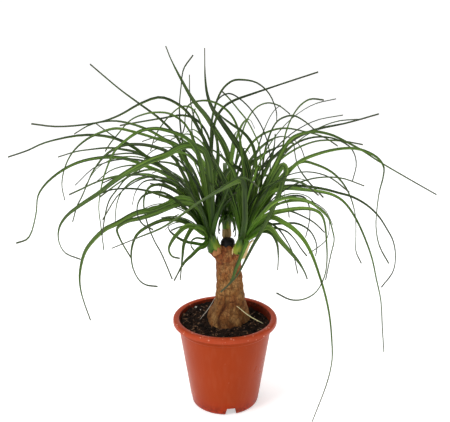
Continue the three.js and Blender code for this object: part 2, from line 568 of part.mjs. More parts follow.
// A leaf's curve from its front-view key points; belly bends its middle nearer to the eye
function tracedCurve(leaf, belly) {
  const start = -CROWNS[leaf.crown].base.y;
  const travel = [0];
  for (let i = 1; i < leaf.path.length; i++) {
    const [a0, u0] = leaf.path[i - 1];
    const [a1, u1] = leaf.path[i];
    travel.push(travel[i - 1] + Math.abs(a1 - a0) + 0.3 * Math.abs(u1 - u0));
  }
  const { x, z } = CROWNS[leaf.crown].base;
  const lead = Math.hypot(leaf.path[0][0] - x, leaf.path[0][1] - z);
  const whole = lead + travel[travel.length - 1];
  const points = leaf.path.map(([across, up], i) => {
    const share = (lead + travel[i]) / whole;
    const toward = THREE.MathUtils.lerp(start, leaf.toward, share) + belly * Math.sin(Math.PI * share);
    return slideToward(across, up, toward);
  });
  return new THREE.CatmullRomCurve3([...rootPoints(leaf.crown, points[0]), ...points]);
}

// A filler's curve: it leaves the crown at its lift and bows over by its droop
function filledCurve(leaf) {
  const { base } = CROWNS[leaf.crown];
  const out = new THREE.Vector3(Math.cos(leaf.heading), Math.sin(leaf.heading), 0);
  const points = [];
  const place = base.clone().addScaledVector(CROWNS[leaf.crown].grows, FILLER_START);
  const piece = leaf.length / FILLER_PIECES;
  for (let i = 0; i < FILLER_PIECES; i++) {
    const slope = leaf.lift - leaf.droop * ((i + 0.5) / FILLER_PIECES) ** FILLER_BOW;
    place.addScaledVector(out, Math.cos(slope) * piece);
    place.z += Math.sin(slope) * piece;
    points.push(place.clone());
  }
  return new THREE.CatmullRomCurve3([...rootPoints(leaf.crown, points[0]), ...points]);
}

function widthAt(leaf, share) {
  const grown = THREE.MathUtils.smoothstep(share, 0, LEAF_BASE_LENGTH);
  const taper = leaf.width * (1 - share ** LEAF_TAPER_POWER) * THREE.MathUtils.lerp(LEAF_BASE_SHARE, 1, grown);
  return Math.max(taper, LEAF_TIP_WIDTH);
}

function bladeSteps(curve) {
  return THREE.MathUtils.clamp(Math.round(0.9 * (curve.points.length - 1)), 7, 13);
}

// A leaf with the straight chords that its blade will follow
function layLeaf(leaf, curve) {
  const points = curve.getPoints(bladeSteps(curve));
  const chords = points.slice(1).map((point, i) => new THREE.Line3(points[i], point));
  return { leaf, points, chords };
}

// Whether a leaf keeps clear of every leaf of the other crowns
function isClear(laid, placed) {
  const others = placed.filter((other) => other.leaf.crown !== laid.leaf.crown);
  const near = new THREE.Vector3();
  return laid.chords.every((chord, i) => {
    const own = widthAt(laid.leaf, i / laid.chords.length);
    return CHORD_SHARES.every((share) => {
      const point = chord.at(share, new THREE.Vector3());
      return others.every((other) =>
        other.chords.every((line, j) => {
          const theirs = widthAt(other.leaf, j / other.chords.length);
          const distance = line.closestPointToPoint(point, true, near).distanceTo(point);
          return distance > (own + theirs) / 2 + LEAF_CLEARANCE;
        }),
      );
    });
  });
}

// A traced leaf with its middle bent nearer or farther until it passes the other crowns' leaves
function bendClear(leaf, placed) {
  for (let step = 0; step < BEND_TRIES; step++) {
    const belly = Math.ceil(step / 2) * BEND_STEP * (step % 2 ? 1 : -1);
    const laid = layLeaf(leaf, tracedCurve(leaf, belly));
    if (isClear(laid, placed)) return laid;
  }
  return null;
}

// A seeded leaf of a crown's sector, drawn again until it passes the other crowns' leaves
function fillClear({ crown, from, to }, turn, draw, placed) {
  for (let tries = 0; tries < FILLER_TRIES; tries++) {
    const heading = THREE.MathUtils.lerp(from, to, (turn * GOLDEN_SHARE) % 1) + draw(-9, 9);
    const leaf = {
      crown,
      facing: draw(-0.2, 0.4),
      width: draw(4.5, 7.5),
      heading: THREE.MathUtils.degToRad(heading),
      lift: THREE.MathUtils.degToRad(draw(56, 88)),
      droop: THREE.MathUtils.degToRad(draw(70, 150)),
      length: draw(110, 215),
    };
    const laid = layLeaf(leaf, filledCurve(leaf));
    if (isClear(laid, placed)) return laid;
  }
  return null;
}

function placeLeaves() {
  const placed = [];
  for (const leaf of TRACED_LEAVES) {
    const laid = bendClear(leaf, placed);
    if (laid) placed.push(laid);
  }
  const draw = makeDraw(FILLER_SEED);
  for (const sector of FILLERS) {
    for (let turn = 0; turn < sector.count; turn++) {
      const laid = fillClear(sector, turn, draw, placed);
      if (laid) placed.push(laid);
    }
  }
  return placed;
}

// A blade along its curve: flat above, keeled below, tapering to a thread
function makeBlade({ leaf, points }) {
  const steps = points.length - 1;
  const lengths = [0];
  for (let i = 1; i <= steps; i++) lengths.push(lengths[i - 1] + points[i].distanceTo(points[i - 1]));
  const viewer = new THREE.Vector3(0, -1, 0);
  const inward = CROWNS[leaf.crown].base.clone().sub(points[2]).setZ(0).normalize();
  let normal = inward;
  const frames = points.map((point, i) => {
    const ahead = points[Math.min(i + 1, steps)];
    const behind = points[Math.max(i - 1, 0)];
    const tangent = ahead.clone().sub(behind).normalize();
    normal = normal.clone().addScaledVector(tangent, -normal.dot(tangent)).normalize();
    const shown = viewer.clone().addScaledVector(tangent, -viewer.dot(tangent));
    const face = normal.clone().addScaledVector(shown, leaf.facing ?? LEAF_FACING);
    face.addScaledVector(tangent, -face.dot(tangent)).normalize();
    return { point, face, side: face.clone().cross(tangent).normalize(), share: lengths[i] / lengths[steps] };
  });
  return formColumn(3, steps, (t, angle, share) => {
    const { point, face, side, share: along } = frames[Math.round(t * steps)];
    const width = widthAt(leaf, along);
    const keel = Math.max(KEEL_LEAST, width * KEEL_SHARE);
    const across = (Math.cos(angle) * share * width) / 2 / Math.cos(Math.PI / 6);
    const depth = ((Math.sin(angle) * share - 0.5) / 1.5) * keel;
    return point.clone().addScaledVector(side, across).addScaledVector(face, depth);
  });
}

// The sheath bundle in the middle of a crown, seated on the end of its shoot
function makeCore(crown, extra) {
  const { base, grows, shoot, coreLength } = CROWNS[crown];
  const from = base.clone().addScaledVector(grows, GAP - extra);
  const to = base.clone().addScaledVector(grows, coreLength + extra);
  return makeLimb(from, to, shoot.endRadius - CORE_INSET + extra, CORE_TOP_RADIUS + extra);
}

function makeCrown(crown, placed, color) {
  const blades = placed.filter(({ leaf }) => leaf.crown === crown).map(makeBlade);
  const whole = blades.reduce((joined, blade) => joined.add(toSolid(blade)), toSolid(makeCore(crown, 0)));
  return makeMesh(`leaves_${crown}`, toGeometry(outerSkin(whole)), color, 0.5);
}

// A dry leaf that leans from the soil against the foot of the trunk
function makeFallenLeaf(name, { top, foot, width }, color) {
  const upper = trunkPoint(top.height, top.angle, 1, DRY_LEAF_LIFT);
  const lower = new THREE.Vector3(foot.x, foot.y, soilHeight(foot.x, foot.y) + DRY_LEAF_LIFT);
  const middle = upper.clone().lerp(lower, 0.5).add(new THREE.Vector3(0, 0, -DRY_LEAF_SAG));
  const curve = new THREE.CatmullRomCurve3([upper, middle, lower]);
  const along = curve.getPoints(DRY_LEAF_STEPS);
  const blade = formColumn(3, DRY_LEAF_STEPS, (t, angle, share) => {
    const i = Math.round(t * DRY_LEAF_STEPS);
    const ahead = along[Math.min(i + 1, DRY_LEAF_STEPS)];
    const tangent = ahead.clone().sub(along[Math.max(i - 1, 0)]).normalize();
    const side = new THREE.Vector3(0, 0, 1).cross(tangent).normalize();
    const face = tangent.clone().cross(side);
    const half = (width / 2) * Math.sqrt(Math.sin(Math.PI * (0.12 + 0.76 * t)));
    const across = (Math.cos(angle) * share * half) / Math.cos(Math.PI / 6);
    const depth = Math.sin(angle) * share * DRY_LEAF_THICKNESS;
    return along[i].clone().addScaledVector(side, across).addScaledVector(face, depth);
  });
  return makeMesh(name, toGeometry(toSolid(blade)), color, 0.8);
}

const placedLeaves = placeLeaves();
const plant = new THREE.Group();
plant.name = "potted_ponytail_palm";
plant.add(
  makePot(),
  makeSoil(),
  makeTrunk(),
  makeWoundSeal(),
  makeCrown("left", placedLeaves, 0x4d7a2c),
  makeCrown("right", placedLeaves, 0x47742a),
  makeCrown("back", placedLeaves, 0x365a22),
  makeFallenLeaf("fallen_leaf_right", DRY_LEAF_RIGHT, 0xb99748),
  makeFallenLeaf("fallen_leaf_left", DRY_LEAF_LEFT, 0xb4ada0),
);

export default plant;
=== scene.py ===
"""A ponytail palm in a plastic nursery pot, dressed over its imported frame.

Sizes are in millimetres and +Z is up; the origin is on the floor under the middle of the pot, and the
front of the plant looks along -Y. Each finished mesh is scaled to metres once, in publish().
"""
import logging
import math
from collections.abc import Callable, Iterable
from dataclasses import dataclass, field
from enum import Enum

import bmesh
import bpy
import numpy as np
from mathutils import Matrix, Vector, noise


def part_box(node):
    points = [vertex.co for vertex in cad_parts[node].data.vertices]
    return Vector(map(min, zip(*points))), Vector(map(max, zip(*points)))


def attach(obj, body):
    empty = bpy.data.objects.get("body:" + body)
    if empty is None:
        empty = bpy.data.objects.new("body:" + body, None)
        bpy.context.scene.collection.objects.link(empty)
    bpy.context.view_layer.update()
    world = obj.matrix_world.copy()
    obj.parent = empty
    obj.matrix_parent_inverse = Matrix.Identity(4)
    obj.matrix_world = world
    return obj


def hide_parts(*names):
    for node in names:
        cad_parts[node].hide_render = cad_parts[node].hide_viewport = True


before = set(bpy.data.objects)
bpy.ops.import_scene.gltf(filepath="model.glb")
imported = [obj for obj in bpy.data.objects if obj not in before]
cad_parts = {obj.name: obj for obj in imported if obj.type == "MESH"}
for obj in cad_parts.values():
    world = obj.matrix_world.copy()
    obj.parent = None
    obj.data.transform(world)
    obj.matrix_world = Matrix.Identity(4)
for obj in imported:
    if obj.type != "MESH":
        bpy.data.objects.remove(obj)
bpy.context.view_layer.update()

MM = 0.001
BODY = "root"
Colour = tuple[float, float, float, float]
log = logging.getLogger("ponytail_palm")

# Driving dimensions, shared with the solids
GAP = 0.35
POT_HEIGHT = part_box("pot")[1].z / MM
RIM_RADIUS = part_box("pot")[1].x / MM
RIM_HEIGHT = 5.8
WALL = 1.3
WALL_TOP_RADIUS = 54.0
WALL_FOOT_RADIUS = 39.8
SHOULDER_DROP = 13.0
SHOULDER_STEP = 0.8
FOOT_RADIUS = 37.5
FOOT_RING_WIDTH = 2.4
FOOT_ROUND_HEIGHT = 4.0
FLOOR_UNDERSIDE = 6.0
SOIL_LEVEL = 95.5
SOIL_LUMP = 1.5
SOIL_HEAP = 2.0
SOIL_HEAP_RADIUS = 34.0
SOIL_BACK_RISE = 5.6
SOIL_RISE_HEADING = (-0.6, 0.8)
SOIL_RISE_LENGTH = 48.0
TRUNK_AXIS_Y = 11.0
LOBE_DEPTH = 2.6
LOBES_START = (60, 80)
LOBES_TOP = 125.0
LOBES_FADE = 28.0
RINGS_START = (104, 120)
RINGS_TOP = 190.0
RINGS_FADE = 12.0
CORE_TOP_RADIUS = 3.4
CORE_INSET = 0.5
EYE = np.array((0.0, -690.0, 430.0))
EYE_TILT = 16.0
LENS = 52.0

# Trunk outline: height, middle from left to right, radius
TRUNK_OUTLINE = (
    (60, 4, 3),
    (61.5, 4, 12),
    (66, 4, 20),
    (76, 3.5, 25),
    (88, 3, 26.5),
    (97, 2.6, 25.6),
    (107.5, 4.1, 22.6),
    (115, 5.2, 19.4),
    (125, 6.1, 17.1),
    (142, 5.4, 15.5),
    (161, 4.3, 14.7),
    (175, 3.7, 14.6),
    (182, 3.6, 14.6),
    (185.5, 3.5, 12.8),
    (188, 3.4, 9.6),
    (190, 3.3, 8),
)


class Slot(Enum):
    """Names for material slots; no piece here is given them."""

    POT = "pot_plastic"
    SOIL = "soil"
    BARK = "bark"
    WAX = "wax"
    LEAF = "leaf"
    DRY_LEAF = "dry_leaf"


def srgb(red: int, green: int, blue: int) -> Colour:
    """Turns an 8-bit display colour into a linear one.

    Args:
        red: Red, 0 to 255.
        green: Green, 0 to 255.
        blue: Blue, 0 to 255.

    Returns:
        The linear colour with full alpha.
    """
    def linear(value: int) -> float:
        """One channel, from display to linear."""
        share = value / 255
        return share / 12.92 if share <= 0.04045 else ((share + 0.055) / 1.055) ** 2.4

    return (linear(red), linear(green), linear(blue), 1.0)


def smoothstep(value: float, low: float, high: float) -> float:
    """Rises smoothly from 0 at low to 1 at high."""
    share = min(max((value - low) / (high - low), 0.0), 1.0)
    return share * share * (3 - 2 * share)


def lerp(low: float, high: float, share: float | np.ndarray) -> float | np.ndarray:
    """The value at a share of the way from low to high."""
    return low + (high - low) * share


@dataclass
class Draw:
    """A repeatable row of draws, started from a seed."""

    state: int
    step: int = 16807
    period: int = 2147483647

    def between(self, low: float, high: float) -> float:
        """The next draw, from low to high."""
        self.state = self.state * self.step % self.period
        return low + (high - low) * self.state / self.period


# Mesh making

SAME_PLACE = 1e-4
Outline = Iterable[tuple[float, float]]


def scaled(place: Vector, scale: tuple[float, float, float]) -> Vector:
    """A place scaled along each axis."""
    return Vector([part * share for part, share in zip(place, scale)])


def lathe(profile: Outline, steps: int, middle: tuple[float, float] = (0, 0)) -> bmesh.types.BMesh:
    """Turns a half outline about an upright axis.

    Args:
        profile: Radius and height of each point; the body is closed where both ends lie on the axis.
        steps: How many sides the body has.
        middle: Where the upright axis stands.

    Returns:
        The body, with its faces outward where it is closed.
    """
    bm = bmesh.new()
    verts = [bm.verts.new((radius, 0, height)) for radius, height in profile]
    edges = [bm.edges.new(pair) for pair in zip(verts, verts[1:])]
    bmesh.ops.spin(
        bm,
        geom=verts + edges,
        cent=(0, 0, 0),
        axis=(0, 0, 1),
        angle=2 * math.pi,
        steps=steps,
        use_merge=True,
    )
    bmesh.ops.remove_doubles(bm, verts=bm.verts, dist=SAME_PLACE)
    bmesh.ops.recalc_face_normals(bm, faces=bm.faces)
    bmesh.ops.translate(bm, vec=(*middle, 0), verts=bm.verts)
    return bm


def to_mesh(name: str, bm: bmesh.types.BMesh) -> bpy.types.Object:
    """Makes an object of a bmesh and frees the bmesh.

    Args:
        name: The object's name.
        bm: The bmesh.

    Returns:
        The object, linked to the scene.
    """
    mesh = bpy.data.meshes.new(name)
    bm.to_mesh(mesh)
    bm.free()
    piece = bpy.data.objects.new(name, mesh)
    bpy.context.scene.collection.objects.link(piece)
    return piece


def apply_modifiers(piece: bpy.types.Object) -> None:
    """Replaces a piece's mesh by the one its modifiers give.

    Args:
        piece: The piece.
    """
    graph = bpy.context.evaluated_depsgraph_get()
    shaped = bpy.data.meshes.new_from_object(piece.evaluated_get(graph))
    piece.modifiers.clear()
    plain = piece.data
    piece.data = shaped
    bpy.data.meshes.remove(plain)


def cut(piece: bpy.types.Object, cutters: Iterable[bpy.types.Object]) -> None:
    """Cuts other bodies out of a piece and removes them.

    Args:
        piece: The piece.
        cutters: The bodies.
    """
    for cutter in cutters:
        trim = piece.modifiers.new("cut", "BOOLEAN")
        trim.operation = "DIFFERENCE"
        trim.solver = "EXACT"
        trim.object = cutter
        apply_modifiers(piece)
        bpy.data.objects.remove(cutter)


def move_verts(piece: bpy.types.Object, move: Callable[[Vector, Vector], Vector]) -> None:
    """Moves every vertex of a mesh by a rule of its place and normal.

    Args:
        piece: The piece.
        move: The rule, which gives the move for a place and a normal.
    """
    bm = bmesh.new()
    bm.from_mesh(piece.data)
    bm.normal_update()
    moved = [vert.co + move(vert.co, vert.normal) for vert in bm.verts]
    for vert, place in zip(bm.verts, moved):
        vert.co = place
    bm.to_mesh(piece.data)
    bm.free()


def shade_smooth(piece: bpy.types.Object, sharp_degrees: float = 180.0) -> None:
    """Shades a mesh smoothly, with a crease at edges sharper than an angle.

    Args:
        piece: The piece.
        sharp_degrees: The angle.
    """
    bm = bmesh.new()
    bm.from_mesh(piece.data)
    for face in bm.faces:
        face.smooth = True
    limit = math.radians(sharp_degrees)
    for edge in bm.edges:
        edge.smooth = edge.calc_face_angle(0) < limit
    bm.to_mesh(piece.data)
    bm.free()


def publish(
    piece: bpy.types.Object, material: bpy.types.Material, replaced: Iterable[str] = ()
) -> bpy.types.Object:
    """Scales a finished piece to metres, dresses it and hangs it on the plant's body.

    Args:
        piece: The finished piece, in millimetres.
        material: Its finish.
        replaced: Solids that the piece stands for.

    Returns:
        The same piece.
    """
    piece.data.transform(Matrix.Scale(MM, 4))
    piece.data.update()
    piece.data.materials.clear()
    piece.data.materials.append(material)
    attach(piece, BODY)
    if replaced:
        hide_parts(*replaced)
    log.info("%s: %d faces", piece.name, len(piece.data.polygons))
    return piece


# Finishes

Source = bpy.types.NodeSocket | float | tuple


@dataclass
class Bench:
    """Places and joins the nodes of one node tree."""

    tree: bpy.types.NodeTree

    def feed(self, node: bpy.types.Node, inputs: dict[str | int, Source]) -> None:
        """Gives a node's sockets what they take.

        Args:
            node: The node.
            inputs: What each socket takes, a value or another node's socket.
        """
        for key, source in inputs.items():
            if isinstance(source, bpy.types.NodeSocket):
                self.tree.links.new(source, node.inputs[key])
            else:
                node.inputs[key].default_value = source

    def add(self, kind: str, inputs: dict[str | int, Source], **settings: object) -> bpy.types.Node:
        """Adds a node.

        Args:
            kind: The node's type name.
            inputs: What each socket takes, a value or another node's socket.
            **settings: The node's own properties.

        Returns:
            The new node.
        """
        node = self.tree.nodes.new(kind)
        for key, value in settings.items():
            setattr(node, key, value)
        self.feed(node, inputs)
        return node

    def math(self, operation: str, first: Source, second: Source = 0.0) -> bpy.types.NodeSocket:
        """The result of a sum of one or two values."""
        return self.add("ShaderNodeMath", {0: first, 1: second}, operation=operation).outputs[0]

    def times(self, first: Source, second: Source) -> bpy.types.NodeSocket:
        """One value times another."""
        return self.math("MULTIPLY", first, second)

    def spread(
        self, value: Source, low: Source, high: Source, out_low: float = 0.0, out_high: float = 1.0
    ) -> bpy.types.NodeSocket:
        """A value's range from low to high, spread smoothly over another range."""
        inputs = {0: value, 1: low, 2: high, 3: out_low, 4: out_high}
        return self.add("ShaderNodeMapRange", inputs, interpolation_type="SMOOTHSTEP").outputs[0]

    def mix(self, share: Source, first: Source, second: Source) -> bpy.types.NodeSocket:
        """Two colours mixed by a share."""
        inputs = {0: share, 6: first, 7: second}
        return self.add("ShaderNodeMix", inputs, data_type="RGBA").outputs[2]

    def tint(self, base: Source, colour: Colour, mask: Source, most: float) -> bpy.types.NodeSocket:
        """A colour laid over the base where a mask is, as a share of it at most."""
        return self.mix(self.times(mask, most), base, colour)

    def place(self) -> bpy.types.NodeSocket:
        """The place on the piece, in metres."""
        return self.add("ShaderNodeTexCoord", {}).outputs["Object"]

    def stretched(self, scale: tuple[float, float, float]) -> bpy.types.NodeSocket:
        """The place on the piece, stretched along its axes."""
        return self.add("ShaderNodeMapping", {"Vector": self.place(), "Scale": scale}).outputs[0]

    def height(self) -> bpy.types.NodeSocket:
        """The height of the place on the piece, in metres."""
        return self.add("ShaderNodeSeparateXYZ", {0: self.place()}).outputs["Z"]

    def upward(self) -> bpy.types.NodeSocket:
        """How much the skin faces up: 1 on top, -1 below."""
        normal = self.add("ShaderNodeNewGeometry", {}).outputs["Normal"]
        return self.add("ShaderNodeSeparateXYZ", {0: normal}).outputs["Z"]

    def reading(self, name: str) -> bpy.types.NodeSocket:
        """A value that the mesh carries at its vertices."""
        return self.add("ShaderNodeAttribute", {}, attribute_name=name).outputs["Fac"]

    def cloud(self, place: Source, scale: Source, detail: float = 3.0) -> bpy.types.NodeSocket:
        """A soft noise around 0.5."""
        inputs = {"Vector": place, "Scale": scale, "Detail": detail}
        return self.add("ShaderNodeTexNoise", inputs).outputs[0]

    def bump(self, height: Source, depth_mm: float, strength: float) -> bpy.types.NodeSocket:
        """A normal raised by a height."""
        inputs = {"Height": height, "Distance": depth_mm * MM, "Strength": strength}
        return self.add("ShaderNodeBump", inputs).outputs[0]


def new_material(name: str) -> tuple[bpy.types.Material, Bench, bpy.types.Node]:
    """Starts a material.

    Args:
        name: The material's name.

    Returns:
        The material, the bench of its node tree and its Principled BSDF.
    """
    material = bpy.data.materials.new(name)
    material.use_nodes = True
    bench = Bench(material.node_tree)
    return material, bench, material.node_tree.nodes["Principled BSDF"]


def new_effect(name: str, values: dict[str, float]) -> tuple[Bench, bpy.types.Node, bpy.types.Node]:
    """Starts a shared effect, a node group that turns a place into a mask.

    Args:
        name: The group's name.
        values: Each value that the group takes besides the place, with its default.

    Returns:
        The group's bench, its input node and its output node.
    """
    tree = bpy.data.node_groups.new(name, "ShaderNodeTree")
    tree.interface.new_socket("Vector", in_out="INPUT", socket_type="NodeSocketVector")
    for key, default in values.items():
        socket = tree.interface.new_socket(key, in_out="INPUT", socket_type="NodeSocketFloat")
        socket.default_value = default
    tree.interface.new_socket("Mask", in_out="OUTPUT", socket_type="NodeSocketFloat")
    bench = Bench(tree)
    return bench, bench.add("NodeGroupInput", {}), bench.add("NodeGroupOutput", {})


@dataclass
class Effects:
    """The effects that several finishes share."""

    mottle: bpy.types.NodeTree = field(init=False)
    specks: bpy.types.NodeTree = field(init=False)

    def __post_init__(self) -> None:
        """Builds every effect once."""
        self.mottle = self.make_mottle()
        self.specks = self.make_specks()

    @staticmethod
    def make_mottle() -> bpy.types.NodeTree:
        """Builds the group for cloudy patches from 0 to 1, with a chosen share covered.

        Returns:
            The node group.
        """
        bench, given, result = new_effect("mottle", {"Scale": 60.0, "Cover": 0.5, "Softness": 0.2})
        sockets = given.outputs
        cloud = bench.cloud(sockets["Vector"], sockets["Scale"], detail=5.0)
        edge = bench.math("SUBTRACT", 1.0, sockets["Cover"])
        low = bench.math("SUBTRACT", edge, sockets["Softness"])
        high = bench.math("ADD", edge, sockets["Softness"])
        bench.feed(result, {0: bench.spread(cloud, low, high)})
        return bench.tree

    @staticmethod
    def make_specks() -> bpy.types.NodeTree:
        """Builds the group for small separate dots.

        Returns:
            The node group.
        """
        bench, given, result = new_effect("specks", {"Scale": 300.0, "Size": 0.2, "Share": 0.3})
        sockets = given.outputs
        cells = bench.add("ShaderNodeTexVoronoi", {"Vector": sockets["Vector"], "Scale": sockets["Scale"]})
        chosen = bench.add("ShaderNodeSeparateColor", {0: cells.outputs["Color"]}).outputs[0]
        kept = bench.math("LESS_THAN", chosen, sockets["Share"])
        near = bench.add("ShaderNodeMapRange", {0: cells.outputs["Distance"], 1: sockets["Size"], 2: 0.0})
        bench.feed(result, {0: bench.times(kept, near.outputs[0])})
        return bench.tree

    def patches(
        self, bench: Bench, place: Source, scale: float, cover: float, softness: float
    ) -> bpy.types.NodeSocket:
        """Lays cloudy patches on a finish.

        Args:
            bench: The bench of the finish.
            place: The place that the pattern follows.
            scale: How fine it is.
            cover: The share that it covers.
            softness: How softly a patch ends.

        Returns:
            The mask, 1 in a patch.
        """
        inputs = {"Vector": place, "Scale": scale, "Cover": cover, "Softness": softness}
        return bench.add("ShaderNodeGroup", inputs, node_tree=self.mottle).outputs[0]

    def dots(
        self, bench: Bench, place: Source, scale: float, size: float, share: float
    ) -> bpy.types.NodeSocket:
        """Lays small separate dots on a finish.

        Args:
            bench: The bench of the finish.
            place: The place that the pattern follows.
            scale: How fine it is.
            size: How large a dot is, as a share of its cell.
            share: The share of the cells with a dot.

        Returns:
            The mask, 1 in the middle of a dot.
        """
        inputs = {"Vector": place, "Scale": scale, "Size": size, "Share": share}
        return bench.add("ShaderNodeGroup", inputs, node_tree=self.specks).outputs[0]


@dataclass(frozen=True)
class PotPlastic:
    """Satin terracotta-coloured plastic: a redder rim with painted glints, scuffs, dark blotches towards
    its foot, and painted shade and smeared soil on its inside wall.
    """

    effects: Effects
    body: Colour = srgb(152, 52, 4)
    rim: Colour = srgb(166, 62, 30)
    foot: Colour = srgb(158, 42, 2)
    # Painted shade for the inside wall.
    inside: Colour = srgb(100, 30, 14)
    soil: Colour = srgb(44, 30, 24)
    dust: Colour = srgb(178, 118, 92)
    shade: Colour = srgb(128, 44, 16)
    # Painted glints on the rim.
    rim_glint: Colour = srgb(244, 188, 160)
    foot_blotch: Colour = srgb(62, 22, 10)
    foot_band: float = 24.0
    blotch_bottom: float = 3.0
    blotch_top: float = 16.0
    roughness: tuple[float, float] = (0.26, 0.38)

    def material(self) -> bpy.types.Material:
        """Builds the finish.

        Returns:
            The material.
        """
        material, bench, shader = new_material("pot_plastic")
        place = bench.place()
        height = bench.height()
        lower = bench.spread(height, 0.0, self.foot_band * MM, out_low=1.0, out_high=0.0)
        upper = bench.spread(height, (POT_HEIGHT - RIM_HEIGHT - 1) * MM, (POT_HEIGHT - RIM_HEIGHT) * MM)
        patches = self.effects.patches(bench, place, scale=26.0, cover=0.5, softness=0.3)
        base = bench.mix(lower, self.body, self.foot)
        base = bench.mix(upper, base, self.rim)
        base = bench.tint(base, self.shade, patches, most=0.2)
        # Dark blotches, darker towards the bottom.
        blotches = self.effects.patches(bench, place, scale=260.0, cover=0.5, softness=0.06)
        low_down = bench.spread(
            height, self.blotch_bottom * MM, self.blotch_top * MM, out_low=0.5, out_high=0.0
        )
        base = bench.mix(bench.times(blotches, low_down), base, self.foot_blotch)
        # Painted glints: pale dots on the rim stand in for small highlights.
        rim_glints = self.effects.dots(bench, place, scale=330.0, size=0.4, share=0.2)
        base = bench.tint(base, self.rim_glint, bench.times(rim_glints, upper), most=0.8)
        downward = bench.stretched((1.0, 1.0, 0.12))
        streaks = self.effects.patches(bench, downward, scale=240.0, cover=0.42, softness=0.14)
        oblong = bench.stretched((1.0, 1.0, 0.4))
        scuffs = self.effects.dots(bench, oblong, scale=260.0, size=0.2, share=0.1)
        worn = bench.math("ADD", bench.times(streaks, 0.05), bench.times(scuffs, 0.3))
        base = bench.mix(worn, base, self.dust)
        # Painted shade: the whole inside wall is darkened.
        inner = bench.reading("inside")
        base = bench.tint(base, self.inside, inner, most=0.75)
        soiled = self.effects.patches(bench, place, scale=190.0, cover=0.5, softness=0.15)
        base = bench.tint(base, self.soil, bench.times(inner, soiled), most=0.6)
        rough = bench.spread(patches, 0.0, 1.0, *self.roughness)
        relief = bench.math("SUBTRACT", bench.cloud(place, scale=900.0), bench.times(scuffs, 0.5))
        bench.feed(shader, {
            "Base Color": base,
            "Roughness": bench.math("ADD", rough, bench.times(worn, 0.6)),
            "Specular IOR Level": 0.1,
            "Normal": bench.bump(relief, depth_mm=0.12, strength=0.5),
        })
        return material


@dataclass(frozen=True)
class PottingMix:
    """Damp dark soil, from black to brown."""

    effects: Effects
    dark: Colour = srgb(26, 20, 17)
    brown: Colour = srgb(78, 55, 40)
    pale: Colour = srgb(128, 100, 76)

    def material(self) -> bpy.types.Material:
        """Builds the finish.

        Returns:
            The material.
        """
        material, bench, shader = new_material("potting_mix")
        place = bench.place()
        clods = self.effects.patches(bench, place, scale=150.0, cover=0.45, softness=0.16)
        crumbs = self.effects.patches(bench, place, scale=620.0, cover=0.45, softness=0.12)
        fibres = self.effects.dots(bench, place, scale=380.0, size=0.3, share=0.16)
        base = bench.tint(self.dark, self.brown, clods, most=0.45)
        base = bench.tint(base, self.dark, crumbs, most=0.3)
        base = bench.tint(base, self.pale, fibres, most=0.55)
        relief = bench.math("ADD", bench.times(clods, 0.5), bench.times(crumbs, 0.5))
        bench.feed(shader, {
            "Base Color": base,
            "Roughness": 0.9,
            "Specular IOR Level": 0.1,
            "Normal": bench.bump(relief, depth_mm=1.2, strength=0.9),
        })
        return material


@dataclass(frozen=True)
class Grain:
    """One kind of loose grain in the soil: perlite, or bark crumbs, with painted shade in its pits."""

    effects: Effects
    name: str
    light: Colour
    dark: Colour
    roughness: float = 0.85

    def material(self) -> bpy.types.Material:
        """Builds the finish.

        Returns:
            The material.
        """
        material, bench, shader = new_material(self.name)
        place = bench.place()
        patches = self.effects.patches(bench, place, scale=300.0, cover=0.5, softness=0.2)
        # Painted shade: the pits are dented and darkened.
        shaded_pits = self.effects.dots(bench, place, scale=1500.0, size=0.35, share=0.5)
        base = bench.mix(patches, self.light, self.dark)
        bench.feed(shader, {
            "Base Color": bench.tint(base, self.dark, shaded_pits, most=0.35),
            "Roughness": self.roughness,
            "Normal": bench.bump(shaded_pits, depth_mm=-0.3, strength=0.8),
        })
        return material


